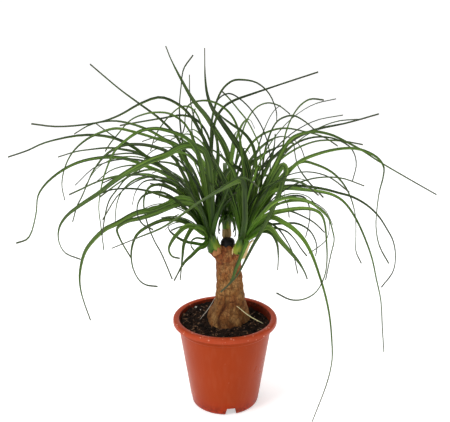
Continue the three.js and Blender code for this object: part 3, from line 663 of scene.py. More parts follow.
@dataclass(frozen=True)
class Bark:
    """Dry bark: olive-tan at the foot, reddish at the top, with fine cracks and wrinkles, and painted
    shade in its deeper folds.
    """

    effects: Effects
    foot: Colour = srgb(134, 86, 44)
    stem: Colour = srgb(148, 98, 50)
    top: Colour = srgb(142, 80, 42)
    crack: Colour = srgb(56, 28, 15)
    pale: Colour = srgb(190, 148, 92)
    red: Colour = srgb(126, 54, 28)
    fresh: Colour = srgb(150, 124, 70)
    foot_top: float = 100.0
    wrinkles_start: float = 105.0
    wrinkles_full: float = 125.0
    stem_start: float = 140.0
    top_start: float = 180.0
    fresh_start: float = 192.0
    fresh_full: float = 200.0
    seam_width: float = 0.12

    def material(self) -> bpy.types.Material:
        """Builds the finish.

        Returns:
            The material.
        """
        material, bench, shader = new_material("bark")
        place = bench.place()
        height = bench.height()
        above_foot = bench.spread(height, self.foot_top * MM, self.stem_start * MM)
        base = bench.mix(above_foot, self.foot, self.stem)
        base = bench.mix(bench.spread(height, self.stem_start * MM, self.top_start * MM), base, self.top)
        patches = self.effects.patches(bench, place, scale=110.0, cover=0.48, softness=0.1)
        base = bench.tint(base, self.pale, patches, most=0.45)
        squat = bench.stretched((1.3, 1.3, 0.6))
        warm = self.effects.patches(bench, squat, scale=75.0, cover=0.4, softness=0.1)
        base = bench.tint(base, self.red, warm, most=0.38)
        upright = bench.stretched((1.0, 1.0, 0.22))
        fibres = self.effects.patches(bench, upright, scale=420.0, cover=0.45, softness=0.12)
        across = bench.stretched((0.35, 0.35, 1.0))
        wrinkles = self.effects.patches(bench, across, scale=380.0, cover=0.36, softness=0.1)
        wrinkly = bench.spread(height, self.wrinkles_start * MM, self.wrinkles_full * MM)
        wrinkled = bench.times(wrinkles, wrinkly)
        tall = {"Vector": bench.stretched((1.0, 1.0, 0.5)), "Scale": 330.0}
        cells = bench.add("ShaderNodeTexVoronoi", tall, feature="DISTANCE_TO_EDGE").outputs["Distance"]
        seams = bench.spread(cells, 0.0, self.seam_width, out_low=1.0, out_high=0.0)
        blots = self.effects.patches(bench, place, scale=210.0, cover=0.4, softness=0.07)
        base = bench.tint(base, self.crack, blots, most=0.35)
        base = bench.tint(base, self.crack, fibres, most=0.4)
        base = bench.tint(base, self.crack, wrinkled, most=0.6)
        base = bench.tint(base, self.crack, seams, most=0.5)
        # Painted shade: the deeper folds are darkened by how far they sink.
        base = bench.tint(base, self.crack, bench.reading("hollow"), most=0.7)
        young = bench.spread(height, self.fresh_start * MM, self.fresh_full * MM)
        base = bench.tint(base, self.fresh, young, most=0.8)
        relief = bench.math("ADD", bench.times(fibres, -0.4), bench.times(wrinkled, -0.6))
        relief = bench.math("ADD", relief, bench.times(seams, -0.5))
        bench.feed(shader, {
            "Base Color": base,
            "Roughness": 0.82,
            "Specular IOR Level": 0.15,
            "Normal": bench.bump(relief, depth_mm=0.8, strength=0.8),
        })
        return material


@dataclass(frozen=True)
class SealingWax:
    """Black-brown wax with a satin skin."""

    effects: Effects
    dark: Colour = srgb(10, 8, 7)
    plum: Colour = srgb(28, 19, 20)
    roughness: tuple[float, float] = (0.36, 0.55)

    def material(self) -> bpy.types.Material:
        """Builds the finish.

        Returns:
            The material.
        """
        material, bench, shader = new_material("sealing_wax")
        place = bench.place()
        patches = self.effects.patches(bench, place, scale=160.0, cover=0.4, softness=0.2)
        bench.feed(shader, {
            "Base Color": bench.mix(patches, self.dark, self.plum),
            "Roughness": bench.spread(patches, 0.0, 1.0, *self.roughness),
            "Specular IOR Level": 0.14,
            "Normal": bench.bump(bench.cloud(place, scale=420.0), depth_mm=0.5, strength=0.7),
        })
        return material


@dataclass(frozen=True)
class LeafSkin:
    """Satin green leaf: pale at its sheath, veined, with a paler midrib that is partly a painted
    highlight, streaks that partly paint highlights and shade, painted shade on faces that turn downward,
    and grey at its thread tip.
    """

    effects: Effects
    deep: Colour = srgb(8, 24, 4)
    bright: Colour = srgb(108, 146, 52)
    outer: Colour = srgb(54, 68, 40)
    below: Colour = srgb(14, 28, 8)
    # Painted shade: the colour that faces turning downward are darkened towards.
    sheath: Colour = srgb(142, 152, 50)
    young: Colour = srgb(76, 128, 16)
    tip: Colour = srgb(74, 80, 56)
    # The light streak colour, partly a painted highlight.
    light: Colour = srgb(142, 170, 72)
    vein_count: float = 9.0
    streaks_across: float = 2.2
    streaks_along: float = 0.012
    streaks_apart: float = 40.0
    midrib_side: float = 0.14
    young_ends: tuple[float, float] = (12.0, 60.0)
    sheath_ends: tuple[float, float] = (2.0, 12.0)
    outer_starts: tuple[float, float] = (0.35, 0.8)
    tip_starts: tuple[float, float] = (0.86, 0.98)
    roughness: tuple[float, float] = (0.36, 0.5)

    def streaks(self, bench: Bench, across: Source, reach: Source, tone: Source) -> bpy.types.NodeSocket:
        """Lays uneven lines along a blade, other ones on every leaf; the light lines stand partly for
        painted highlights, the dark ones partly for painted shade.

        Args:
            bench: The bench of the finish.
            across: The place across the blade, -1 to 1.
            reach: The place along the blade, in millimetres.
            tone: The leaf's own tone, 0 to 1.

        Returns:
            The lines, around 0.5.
        """
        inputs = {
            "X": bench.times(across, self.streaks_across),
            "Y": bench.times(reach, self.streaks_along),
            "Z": bench.times(tone, self.streaks_apart),
        }
        return bench.cloud(bench.add("ShaderNodeCombineXYZ", inputs).outputs[0], scale=1.6)

    def material(self) -> bpy.types.Material:
        """Builds the finish.

        Returns:
            The material.
        """
        material, bench, shader = new_material("leaf_skin")
        across = bench.reading("across")
        along = bench.reading("along")
        reach = bench.reading("reach")
        tone = bench.reading("tone")
        green = bench.mix(tone, self.deep, self.bright)
        patches = self.effects.patches(bench, bench.place(), scale=55.0, cover=0.45, softness=0.25)
        green = bench.tint(green, self.bright, patches, most=0.3)
        veins = bench.math("SINE", bench.times(across, self.vein_count * math.pi))
        green = bench.mix(bench.spread(veins, -1.0, 1.0, out_high=0.16), green, self.deep)
        streaks = self.streaks(bench, across, reach, tone)
        # Streak colours: lighter lines partly as painted highlights, darker lines partly as painted shade.
        green = bench.mix(bench.spread(streaks, 0.52, 0.64, out_high=0.45), green, self.light)
        dark_and_shade_lines = bench.spread(streaks, 0.38, 0.5, out_low=0.75, out_high=0.0)
        green = bench.mix(dark_and_shade_lines, green, self.deep)
        off_middle = bench.math("ABSOLUTE", across)
        # A paler midrib, partly a painted highlight along the blade's middle.
        midrib_and_highlight = bench.spread(off_middle, 0.0, self.midrib_side, out_low=0.35, out_high=0.0)
        green = bench.mix(midrib_and_highlight, green, self.young)
        young = bench.spread(reach, *self.young_ends, out_low=0.5, out_high=0.0)
        green = bench.mix(young, green, self.young)
        # The pale sheath colour shows only on bright tones: on bright leaves, and on the clasping feet
        # painted as lit.
        chosen = bench.spread(tone, 0.5, 0.9)
        pale = bench.spread(reach, *self.sheath_ends, out_low=0.9, out_high=0.0)
        green = bench.mix(bench.times(pale, chosen), green, self.sheath)
        green = bench.mix(bench.spread(along, *self.outer_starts, out_high=0.55), green, self.outer)
        green = bench.mix(bench.spread(along, *self.tip_starts, out_high=0.85), green, self.tip)
        # Painted shade: faces that turn downward are darkened towards the below colour.
        underside = bench.spread(bench.upward(), -0.5, 0.35, out_low=0.75, out_high=0.0)
        bench.feed(shader, {
            "Base Color": bench.mix(underside, green, self.below),
            "Roughness": bench.spread(patches, 0.0, 1.0, *self.roughness),
            "Specular IOR Level": 0.2,
            "Normal": bench.bump(veins, depth_mm=0.06, strength=0.5),
        })
        return material


@dataclass(frozen=True)
class DryLeaf:
    """A dry strap or sheath: fibres along it, mottled brown spots."""

    effects: Effects
    name: str
    light: Colour
    dark: Colour
    fibre_density: float = 22.0

    def material(self) -> bpy.types.Material:
        """Builds the finish.

        Returns:
            The material.
        """
        material, bench, shader = new_material(self.name)
        fibres = bench.math("SINE", bench.times(bench.reading("across"), self.fibre_density))
        spots = self.effects.patches(bench, bench.place(), scale=260.0, cover=0.36, softness=0.14)
        base = bench.mix(bench.spread(fibres, -1.0, 1.0, out_high=0.3), self.light, self.dark)
        bench.feed(shader, {
            "Base Color": bench.tint(base, self.dark, spots, most=0.6),
            "Roughness": 0.75,
            "Normal": bench.bump(fibres, depth_mm=0.12, strength=0.7),
        })
        return material


# Pot

@dataclass
class NurseryPot:
    """The injection-moulded pot: a tapering wall, a stacking shoulder, a hollow lip and a foot ring."""

    effects: Effects
    sides: int = 144
    edge_round: float = 0.4
    notch_count: int = 4
    notch_height: float = 9.0
    notch_top_width: float = 9.5
    notch_foot_width: float = 13.5
    notch_inner_radius: float = 31.0
    notch_first_degrees: float = -80.0
    lip_round: float = 2.4
    lip_step: int = 18
    lip_fillet: float = 0.8
    mouth_fillet: float = 0.6
    foot_fillet: float = 1.5
    floor_fillet: float = 1.5
    ridge_degrees: float = 35.0
    inside_wall_share: float = 0.6
    inside_below_top: float = 0.9

    @staticmethod
    def wall_radius(height: float) -> float:
        """The wall's outer radius at a height.

        Args:
            height: The height over the ground.

        Returns:
            The radius.
        """
        top = POT_HEIGHT - SHOULDER_DROP
        share = (height - FOOT_ROUND_HEIGHT) / (top - FOOT_ROUND_HEIGHT)
        return lerp(WALL_FOOT_RADIUS, WALL_TOP_RADIUS - SHOULDER_STEP, share)

    def profile(self) -> list[tuple[float, float]]:
        """Lists the pot's half outline, from the middle of its underside round to its floor's middle.

        Returns:
            Radius and height of each point.
        """
        shoulder = POT_HEIGHT - SHOULDER_DROP
        floor_top = FLOOR_UNDERSIDE + WALL
        lip_foot = POT_HEIGHT - RIM_HEIGHT
        lip_underside = POT_HEIGHT - WALL
        foot_inner = FOOT_RADIUS - FOOT_RING_WIDTH
        lip = [
            (
                RIM_RADIUS - self.lip_round * (1 - math.cos(turn)),
                POT_HEIGHT - self.lip_round * (1 - math.sin(turn)),
            )
            for turn in (math.radians(step) for step in range(0, 91, self.lip_step))
        ]
        return [
            (0, FLOOR_UNDERSIDE),
            (foot_inner, FLOOR_UNDERSIDE),
            (foot_inner, 0),
            (FOOT_RADIUS, 0),
            (FOOT_RADIUS + self.foot_fillet, FOOT_ROUND_HEIGHT * 0.35),
            (WALL_FOOT_RADIUS, FOOT_ROUND_HEIGHT),
            (self.wall_radius(shoulder), shoulder),
            (WALL_TOP_RADIUS - 0.1, shoulder + SHOULDER_STEP),
            (WALL_TOP_RADIUS, lip_underside - 1),
            (WALL_TOP_RADIUS + self.lip_fillet, lip_underside),
            (RIM_RADIUS - WALL - self.mouth_fillet, lip_underside),
            (RIM_RADIUS - WALL, lip_underside - self.lip_fillet),
            (RIM_RADIUS - WALL, lip_foot),
            (RIM_RADIUS, lip_foot),
            *lip,
            (WALL_TOP_RADIUS + 1, POT_HEIGHT),
            (WALL_TOP_RADIUS - WALL + 0.5, POT_HEIGHT - self.mouth_fillet),
            (WALL_TOP_RADIUS - WALL, POT_HEIGHT - 2),
            (self.wall_radius(shoulder) - WALL, shoulder),
            (self.wall_radius(floor_top + self.floor_fillet) - WALL, floor_top + self.floor_fillet),
            (self.wall_radius(floor_top) - WALL - self.floor_fillet, floor_top),
            (0, floor_top),
        ]

    def make_notch(self, turn: float) -> bpy.types.Object:
        """Makes a tapering block that cuts one drainage notch.

        Args:
            turn: Where the notch is, as an angle about the upright axis.

        Returns:
            The block.
        """
        reach = RIM_RADIUS - self.notch_inner_radius
        bm = bmesh.new()
        size = Matrix.Diagonal((reach, self.notch_foot_width, self.notch_height + 1, 1))
        middle = Matrix.Translation((self.notch_inner_radius + reach / 2, 0, (self.notch_height - 1) / 2))
        bmesh.ops.create_cube(bm, size=1, matrix=middle @ size)
        upper = [vert for vert in bm.verts if vert.co.z > 0]
        narrowing = (1, self.notch_top_width / self.notch_foot_width, 1)
        bmesh.ops.scale(bm, vec=narrowing, verts=upper)
        bmesh.ops.rotate(bm, cent=(0, 0, 0), matrix=Matrix.Rotation(turn, 3, "Z"), verts=bm.verts)
        return to_mesh("notch", bm)

    def build(self) -> None:
        """Builds and dresses the pot."""
        bm = lathe(self.profile(), self.sides)
        ridge = math.radians(self.ridge_degrees)
        ridges = [edge for edge in bm.edges if edge.calc_face_angle(0) > ridge]
        bmesh.ops.bevel(
            bm,
            geom=ridges,
            offset=self.edge_round,
            segments=2,
            profile=0.5,
            affect="EDGES",
            material=-1,
            clamp_overlap=True,
        )
        pot = to_mesh("pot_shell", bm)
        first = math.radians(self.notch_first_degrees)
        turns = [first + step * 2 * math.pi / self.notch_count for step in range(self.notch_count)]
        cut(pot, [self.make_notch(turn) for turn in turns])
        # Marks the inside wall, which the plastic darkens as painted shade and smears with soil.
        inside = pot.data.attributes.new("inside", "FLOAT", "POINT")
        for vert, mark in zip(pot.data.vertices, inside.data):
            limit = self.wall_radius(vert.co.z) - WALL * self.inside_wall_share
            inner = math.hypot(vert.co.x, vert.co.y) < limit
            mark.value = float(inner and vert.co.z < POT_HEIGHT - self.inside_below_top)
        shade_smooth(pot, sharp_degrees=32)
        publish(pot, PotPlastic(self.effects).material(), ["pot"])


# Trunk

def outline_at(height: float) -> tuple[float, float]:
    """The trunk's middle, from left to right, and its radius at a height."""
    heights, middles, radii = zip(*TRUNK_OUTLINE)
    return float(np.interp(height, heights, middles)), float(np.interp(height, heights, radii))


def bark_swell(height: float, angle: float) -> float:
    """Shapes the root-like lobes of the foot and the low rings of the stem.

    Args:
        height: The height over the ground.
        angle: The angle about the trunk.

    Returns:
        How far they stand out.
    """
    flare = smoothstep(LOBES_TOP - height, 0, LOBES_FADE) * smoothstep(height, *LOBES_START)
    lobes = math.cos(3 * (angle + 2)) * 0.6 + math.cos(5 * angle - 1.1) * 0.4
    rings = math.sin(height * 0.55 + math.sin(angle * 2) * 1.3) * 0.35
    stem = smoothstep(height, *RINGS_START) * smoothstep(RINGS_TOP - height, 0, RINGS_FADE)
    return flare * lobes * LOBE_DEPTH + stem * rings


def trunk_place(height: float, angle: float, extra: float) -> Vector:
    """Finds a point on the trunk's skin, or some way outside it.

    Args:
        height: The height over the ground.
        angle: The angle about the trunk.
        extra: How far outside the skin.

    Returns:
        The point.
    """
    middle, radius = outline_at(height)
    reach = radius + bark_swell(height, angle) + extra
    return Vector((middle + reach * math.cos(angle), TRUNK_AXIS_Y + reach * math.sin(angle), height))


@dataclass(frozen=True)
class Crown:
    """Where a shoot ends, which way it grows, and the heading in degrees of the side of its core that is
    painted lit; the other side is painted in shade.
    """

    base: tuple[float, float, float]
    lean: tuple[float, float, float]
    shoot_length: float
    shoot_foot_radius: float
    shoot_end_radius: float
    core_length: float
    lit_side: float

    def core_radius(self, height: float) -> float:
        """The radius of the bundle of leaf feet at a height over the shoot's end."""
        share = min(max(height / self.core_length, 0), 1)
        return lerp(self.shoot_end_radius - CORE_INSET, CORE_TOP_RADIUS, share)

    @property
    def middle(self) -> np.ndarray:
        """The middle of the shoot's end."""
        return np.array(self.base, dtype=float)

    @property
    def grows(self) -> np.ndarray:
        """The direction in which the shoot grows."""
        return np.array(self.lean) / np.linalg.norm(self.lean)


class Head(Enum):
    """The three leaf heads."""

    LEFT = "left"
    RIGHT = "right"
    BACK = "back"


LEFT, RIGHT, BACK = Head

CROWNS = {
    LEFT: Crown((-12, 4, 186), (-0.3, -0.1, 1), 12, 2.4, 7.4, 17, lit_side=-40),
    RIGHT: Crown((16, -1, 184.5), (0.24, -0.15, 1), 12, 2.4, 7.4, 17, lit_side=220),
    BACK: Crown((2, 22.5, 205), (0, 0.16, 1), 34, 6, 4, 9, lit_side=0),
}


def add_limb(
    bm: bmesh.types.BMesh, start: Vector, end: Vector, foot_radius: float, end_radius: float
) -> list[bmesh.types.BMVert]:
    """Adds a tapering round limb.

    Args:
        bm: The bmesh that takes it.
        start: The middle of its foot.
        end: The middle of its end.
        foot_radius: Its radius at its foot.
        end_radius: Its radius at its end.

    Returns:
        The limb's vertices.
    """
    span = end - start
    turn = span.to_track_quat("Z", "Y").to_matrix().to_4x4()
    return bmesh.ops.create_cone(
        bm,
        cap_ends=True,
        segments=40,
        radius1=foot_radius,
        radius2=end_radius,
        depth=span.length,
        matrix=Matrix.Translation((start + end) / 2) @ turn,
    )["verts"]


@dataclass
class Trunk:
    """The woody stem with its swollen foot, three shoots and cut stub, and the wax on the cut.

    A fold of the bark is its heading about the stem, in radians, and its share of the fold depth.
    """

    effects: Effects
    sides: int = 96
    rings: int = 90
    voxel: float = 0.75
    on_axis: float = 0.5
    stub_middle: tuple[float, float] = (3.2, 7.0)
    stub_top: float = 191.2
    stub_length: float = 20.0
    stub_radius: float = 7.6
    stub_taper: float = 1.5
    wrinkle: float = 0.3
    wrinkle_scale: tuple[float, float, float] = (0.12, 0.12, 0.55)
    wrinkle_rise: tuple[float, float] = (118, 160)
    wrinkle_least: float = 0.4
    wrinkle_gain: float = 1.2
    grain: float = 0.22
    grain_scale: tuple[float, float, float] = (0.7, 0.7, 0.16)
    foot_lump: float = 1.1
    foot_lump_scale: float = 0.09
    small_lump: float = 0.5
    small_lump_scale: float = 0.22
    fold_depth: float = 2.2
    fold_width: float = 0.09
    fold_wander: float = 0.25
    fold_top: float = 150.0
    fold_full: float = 104.0
    shallow: float = 0.25
    folds: tuple[tuple[float, float], ...] = (
        (-1.97, 0.9), (-1.35, 0.3), (-0.8, 0.35), (-2.6, 0.3), (0.4, 0.4), (1.5, 0.5), (2.4, 0.3),
    )
    wax_radius: float = 7.9
    wax_height: float = 6.2
    wax_round: float = 3.4
    wax_underside: tuple[float, ...] = (0.3, 0.475, 0.65, 0.825)
    wax_bulge: float = 0.2
    wax_bulge_share: float = 0.3
    wax_shoulder_share: float = 0.35
    wax_middle: tuple[tuple[float, float], ...] = ((3, 0.99), (0, 0.95))
    wax_sides: int = 64
    drip: float = 3.6

    def make_column(self, extra: float) -> bmesh.types.BMesh:
        """Makes the stem with its flare and lobes.

        Args:
            extra: How much larger than the stem, or smaller where negative.

        Returns:
            The body.
        """
        bottom, top = TRUNK_OUTLINE[0][0], TRUNK_OUTLINE[-1][0]
        heights = [lerp(bottom, top, step / self.rings) for step in range(self.rings + 1)]
        bm = lathe([(0, bottom - extra), *((1, height) for height in heights), (0, top)], self.sides)
        for vert in bm.verts:
            if math.hypot(vert.co.x, vert.co.y) > self.on_axis:
                vert.co = trunk_place(vert.co.z, math.atan2(vert.co.y, vert.co.x), extra)
            else:
                vert.co.x = outline_at(vert.co.z)[0]
                vert.co.y = TRUNK_AXIS_Y
        return bm

    def relief(self, place: Vector, normal: Vector) -> Vector:
        """Shapes the bark's folds, wrinkles and lumps.

        Args:
            place: The point.
            normal: Which way the skin faces there.

        Returns:
            The move.
        """
        angle = math.atan2(place.y - TRUNK_AXIS_Y, place.x - outline_at(place.z)[0])
        wander = noise.noise(Vector((place.z * 0.05, 3.1, 0))) * self.fold_wander
        foot = smoothstep(place.z, self.fold_top, self.fold_full)
        fold = 0.0
        for mark, depth in self.folds:
            away = (angle - mark - wander + math.pi) % (2 * math.pi) - math.pi
            fold += depth * math.exp(-((away / self.fold_width) ** 2))
        large = noise.noise(place * self.foot_lump_scale) * self.foot_lump * foot
        small = noise.noise(place * self.small_lump_scale) * self.small_lump
        wrinkled = self.wrinkle_least + self.wrinkle_gain * smoothstep(place.z, *self.wrinkle_rise)
        wrinkles = noise.noise(scaled(place, self.wrinkle_scale)) * self.wrinkle * wrinkled
        grain = noise.noise(scaled(place, self.grain_scale)) * self.grain
        return normal * (large + small + wrinkles + grain - self.fold_depth * min(fold, 1) * foot)

    def build_wood(self) -> None:
        """Builds and dresses the stem with its shoots and stub as one skin."""
        bm = self.make_column(0)
        for crown in CROWNS.values():
            end = Vector(crown.base)
            start = end - Vector(crown.grows) * crown.shoot_length
            add_limb(bm, start, end, crown.shoot_foot_radius, crown.shoot_end_radius)
        stub_end = Vector((*self.stub_middle, self.stub_top))
        stub_start = stub_end - Vector((0, 0, self.stub_length))
        add_limb(bm, stub_start, stub_end, self.stub_radius + self.stub_taper, self.stub_radius)
        wood = to_mesh("trunk_bark", bm)
        skin = wood.modifiers.new("one skin", "REMESH")
        skin.mode = "VOXEL"
        skin.voxel_size = self.voxel
        apply_modifiers(wood)
        bm = bmesh.new()
        bm.from_mesh(wood.data)
        bmesh.ops.smooth_vert(
            bm, verts=bm.verts, factor=0.5, use_axis_x=True, use_axis_y=True, use_axis_z=True
        )
        bm.to_mesh(wood.data)
        bm.free()
        smooth = [vert.co.copy() for vert in wood.data.vertices]
        move_verts(wood, self.relief)
        # How far each point sank below the smooth skin, read by the bark as painted shade in the folds.
        hollow = wood.data.attributes.new("hollow", "FLOAT", "POINT")
        for vert, before, mark in zip(wood.data.vertices, smooth, hollow.data):
            sunk = (before - vert.co).dot(vert.normal)
            mark.value = min(max(sunk - self.shallow, 0.0), 1.0)
        shade_smooth(wood)
        publish(wood, Bark(self.effects).material(), ["trunk"])

    def build_wax(self) -> None:
        """Builds and dresses the wax cap, with a few drips over the stub's edge."""
        foot = self.stub_top + GAP
        profile = [(0, foot)] + [(self.wax_radius * share, foot) for share in self.wax_underside]
        for degrees in range(15, 91, 15):
            turn = math.radians(degrees)
            bulge = self.wax_radius + self.wax_bulge * math.sin(turn)
            rise = self.wax_bulge_share * (1 - math.cos(turn))
            profile.append((bulge, foot + self.wax_height * rise))
        for degrees in range(10, 91, 16):
            turn = math.radians(degrees)
            shoulder = self.wax_radius - self.wax_round * (1 - math.cos(turn))
            rise = lerp(self.wax_shoulder_share, 1, math.sin(turn))
            profile.append((shoulder, foot + self.wax_height * rise))
        profile += [(radius, foot + self.wax_height * rise) for radius, rise in self.wax_middle]
        wax = to_mesh("wax_cap", lathe(profile, self.wax_sides, self.stub_middle))

        def slump(place: Vector, normal: Vector) -> Vector:
            """Shapes the lumps over the wax and the drips at its foot.

            Args:
                place: The point.
                normal: Which way the wax faces there.

            Returns:
                The move.
            """
            angle = math.atan2(place.y - self.stub_middle[1], place.x - self.stub_middle[0])
            low = smoothstep(place.z, foot + self.wax_height * 0.4, foot)
            reach = (place.xy - Vector(self.stub_middle)).length
            outer = smoothstep(reach, self.wax_radius - 1, self.wax_radius)
            around = Vector((math.cos(angle), math.sin(angle), 0)) * 1.7
            drip = max(noise.noise(around), 0) * self.drip
            lumps = noise.noise(place * 0.35) * 0.45 + noise.noise(place * 0.9) * 0.12
            return normal * lumps - Vector((0, 0, drip * low * outer))

        move_verts(wax, slump)
        shade_smooth(wax, sharp_degrees=60)
        publish(wax, SealingWax(self.effects).material(), ["wound_seal"])


# Soil

def soil_height(x: float, y: float) -> float:
    """Shapes the surface of the soil.

    Args:
        x: The place from left to right.
        y: The place from front to back.

    Returns:
        The height over the ground.
    """
    lumps = (
        math.sin(x * 0.31 + 1.2) * math.cos(y * 0.27 - 0.4)
        + math.sin(x * 0.55 - y * 0.47 + 2.1) * 0.6
        + math.cos(x * 0.83 + y * 0.71) * 0.4
    )
    from_trunk = math.hypot(x - 3, y - TRUNK_AXIS_Y)
    heap = SOIL_HEAP * math.exp(-((from_trunk / SOIL_HEAP_RADIUS) ** 2))
    back = SOIL_RISE_HEADING[0] * x + SOIL_RISE_HEADING[1] * y
    rise = SOIL_BACK_RISE * smoothstep(back, 0, SOIL_RISE_LENGTH)
    return SOIL_LEVEL + lumps * SOIL_LUMP * 0.5 + heap + rise


@dataclass
class Soil:
    """The potting mix: a crumbled bed, loose crumbs, bark flakes and perlite grains."""

    effects: Effects
    pot: NurseryPot
    trunk: Trunk
    sides: int = 150
    rings: int = 58
    crumble: float = 1.3
    hole_inset: float = 0.6
    seed: int = 11
    crumb_count: int = 900
    crumb_sizes: tuple[float, float] = (0.5, 1.7)
    crumb_size_power: float = 1.2
    crumb_flatness: float = 0.8
    flake_count: int = 150
    flake_lengths: tuple[float, float] = (1.2, 3.6)
    flake_widths: tuple[float, float] = (0.5, 1.1)
    flake_heights: tuple[float, float] = (0.3, 0.6)
    flake_lift: float = 0.7
    grain_tilt: float = 0.5
    grain_roughness: tuple[float, float] = (-0.3, 0.22)
    perlite_seen: tuple[tuple[float, float, float], ...] = ((-34.9, 32, 1.5), (-29, 28, 1.1))

    def top_radius(self) -> float:
        """How far the bed reaches at its surface."""
        return self.pot.wall_radius(SOIL_LEVEL) - WALL - GAP

    def crumbled(self, x: float, y: float) -> float:
        """Adds the crumbs to the surface of the bed.

        Args:
            x: The place from left to right.
            y: The place from front to back.

        Returns:
            The height over the ground.
        """
        coarse = noise.noise(Vector((x * 0.16, y * 0.16, 2.0))) * self.crumble
        fine = noise.noise(Vector((x * 0.5, y * 0.5, 7.0))) * self.crumble * 0.55
        return soil_height(x, y) + coarse + fine

    def build_bed(self) -> None:
        """Builds and dresses the bed, with a plain hole for the trunk."""
        foot = FLOOR_UNDERSIDE + WALL + GAP
        reach = self.top_radius()
        profile = [(0, foot), (self.pot.wall_radius(foot) - WALL - GAP - 2, foot)]
        profile += [(reach * (1 - step / self.rings), SOIL_LEVEL) for step in range(self.rings + 1)]
        bm = lathe(profile, self.sides)
        for vert in bm.verts:
            if vert.co.z > foot + 1:
                vert.co.z = self.crumbled(vert.co.x, vert.co.y)
        bed = to_mesh("soil_bed", bm)
        cut(bed, [to_mesh("hole", self.trunk.make_column(-self.hole_inset))])
        shade_smooth(bed, sharp_degrees=70)
        publish(bed, PottingMix(self.effects).material(), ["soil"])

    def spot(self, draw: Draw) -> tuple[float, float]:
        """Draws a place on the bed, outside the trunk.

        Args:
            draw: The row of draws.

        Returns:
            The place, as x and y.
        """
        while True:
            angle = draw.between(-math.pi, math.pi)
            reach = (self.top_radius() - 2) * math.sqrt(draw.between(0, 1))
            x, y = reach * math.cos(angle), reach * math.sin(angle)
            middle, radius = outline_at(SOIL_LEVEL)
            if math.hypot(x - middle, y - TRUNK_AXIS_Y) > radius + 1:
                return x, y

    def add_grain(self, bm: bmesh.types.BMesh, draw: Draw, place: Vector, size: Vector) -> None:
        """Adds one rough grain, half sunk in the bed.

        Args:
            bm: The bmesh that takes it.
            draw: The row of draws.
            place: The grain's middle.
            size: Its radii, before it is turned.
        """
        heading = Matrix.Rotation(draw.between(0, math.pi), 4, "Z")
        tilt = Matrix.Rotation(draw.between(-self.grain_tilt, self.grain_tilt), 4, "X")
        matrix = Matrix.Translation(place) @ heading @ tilt @ Matrix.Diagonal((*size, 1))
        grain = bmesh.ops.create_icosphere(bm, subdivisions=1, radius=1, matrix=matrix)["verts"]
        for vert in grain:
            vert.co += (vert.co - place) * draw.between(*self.grain_roughness)

    def build_grains(self) -> None:
        """Builds and dresses the loose crumbs, the bark flakes and the perlite."""
        draw = Draw(self.seed)
        bm = bmesh.new()
        for _ in range(self.crumb_count):
            x, y = self.spot(draw)
            size = draw.between(*self.crumb_sizes) ** self.crumb_size_power
            place = Vector((x, y, self.crumbled(x, y) + size * 0.3))
            self.add_grain(bm, draw, place, Vector((size, size, size * self.crumb_flatness)))
        crumbs = to_mesh("soil_crumbs", bm)
        publish(crumbs, PottingMix(self.effects).material())

        bm = bmesh.new()
        for _ in range(self.flake_count):
            x, y = self.spot(draw)
            place = Vector((x, y, self.crumbled(x, y) + self.flake_lift))
            ranges = (self.flake_lengths, self.flake_widths, self.flake_heights)
            size = Vector([draw.between(*span) for span in ranges])
            self.add_grain(bm, draw, place, size)
        flakes = to_mesh("bark_flakes", bm)
        brown = Grain(self.effects, "bark_flakes", srgb(122, 88, 58), srgb(66, 44, 30))
        publish(flakes, brown.material())

        bm = bmesh.new()
        for x, y, size in self.perlite_seen:
            place = Vector((x, y, self.crumbled(x, y) + size * 0.4))
            self.add_grain(bm, draw, place, Vector((size, size, size)))
        perlite = to_mesh("perlite_grains", bm)
        white = Grain(self.effects, "perlite", srgb(226, 222, 212), srgb(170, 160, 146))
        publish(perlite, white.material())


# Foliage

CHORD_SHARES = np.array((0, 0.2, 0.4, 0.6, 0.8, 1))
CLIMB_SHARE = 0.3
SEAT_LOWEST = 0.15
SEAT_CLIMB = 0.53
SEAT_OUT = 1.2
LEAVE_OUT = 3.6
LEAVE_UP = 7.0
LEAF_TIP_WIDTH = 1.0
LEAF_BASE_SHARE = 0.8
LEAF_BASE_LENGTH = 0.18
LEAF_TAPER_POWER = 2.2
LEAF_CLEARANCE = 0.8
BEND_STEP = 3
BEND_TRIES = 40
WALK_SHARE = 0.9
WALK_STEPS = (7, 13)
FILLER_SEED = 7
FILLER_TRIES = 14
FILLER_START = 14.0
FILLER_PIECES = 7
FILLER_BOW = 1.6
FILLER_SWAY = 9.0
GOLDEN_SHARE = 0.618034


@dataclass(frozen=True)
class Traced:
    """A leaf read from the front view.

    A key point is (across, up) on the upright plane through the pot's axis; toward says how far the tip
    stands nearer to the eye than that plane, and facing how much the blade turns its face to the front.
    A blade that rolls over has a far_facing of its own beyond its bend.
    """

    head: Head
    width: float
    toward: float
    path: list[tuple[float, float]]
    facing: float = 1.1
    far_facing: float | None = None

    def keys(self, belly: float) -> np.ndarray:
        """Finds the leaf's key points.

        Args:
            belly: How far its middle bends nearer to the eye.

        Returns:
            The points, with its root first.
        """
        crown = CROWNS[self.head]
        path = np.array(self.path, dtype=float)
        steps = np.abs(np.diff(path, axis=0)) @ (1, CLIMB_SHARE)
        lead = math.hypot(path[0, 0] - crown.base[0], path[0, 1] - crown.base[2])
        travel = lead + np.concatenate(([0], np.cumsum(steps)))
        shares = travel / travel[-1]
        toward = -crown.base[1] + (self.toward + crown.base[1]) * shares + belly * np.sin(math.pi * shares)
        on_plane = np.column_stack((path[:, 0], np.zeros(len(path)), path[:, 1]))
        points = EYE + (on_plane - EYE) * ((-EYE[1] - toward) / -EYE[1])[:, None]
        return np.vstack((root_points(self.head, points[0]), points))


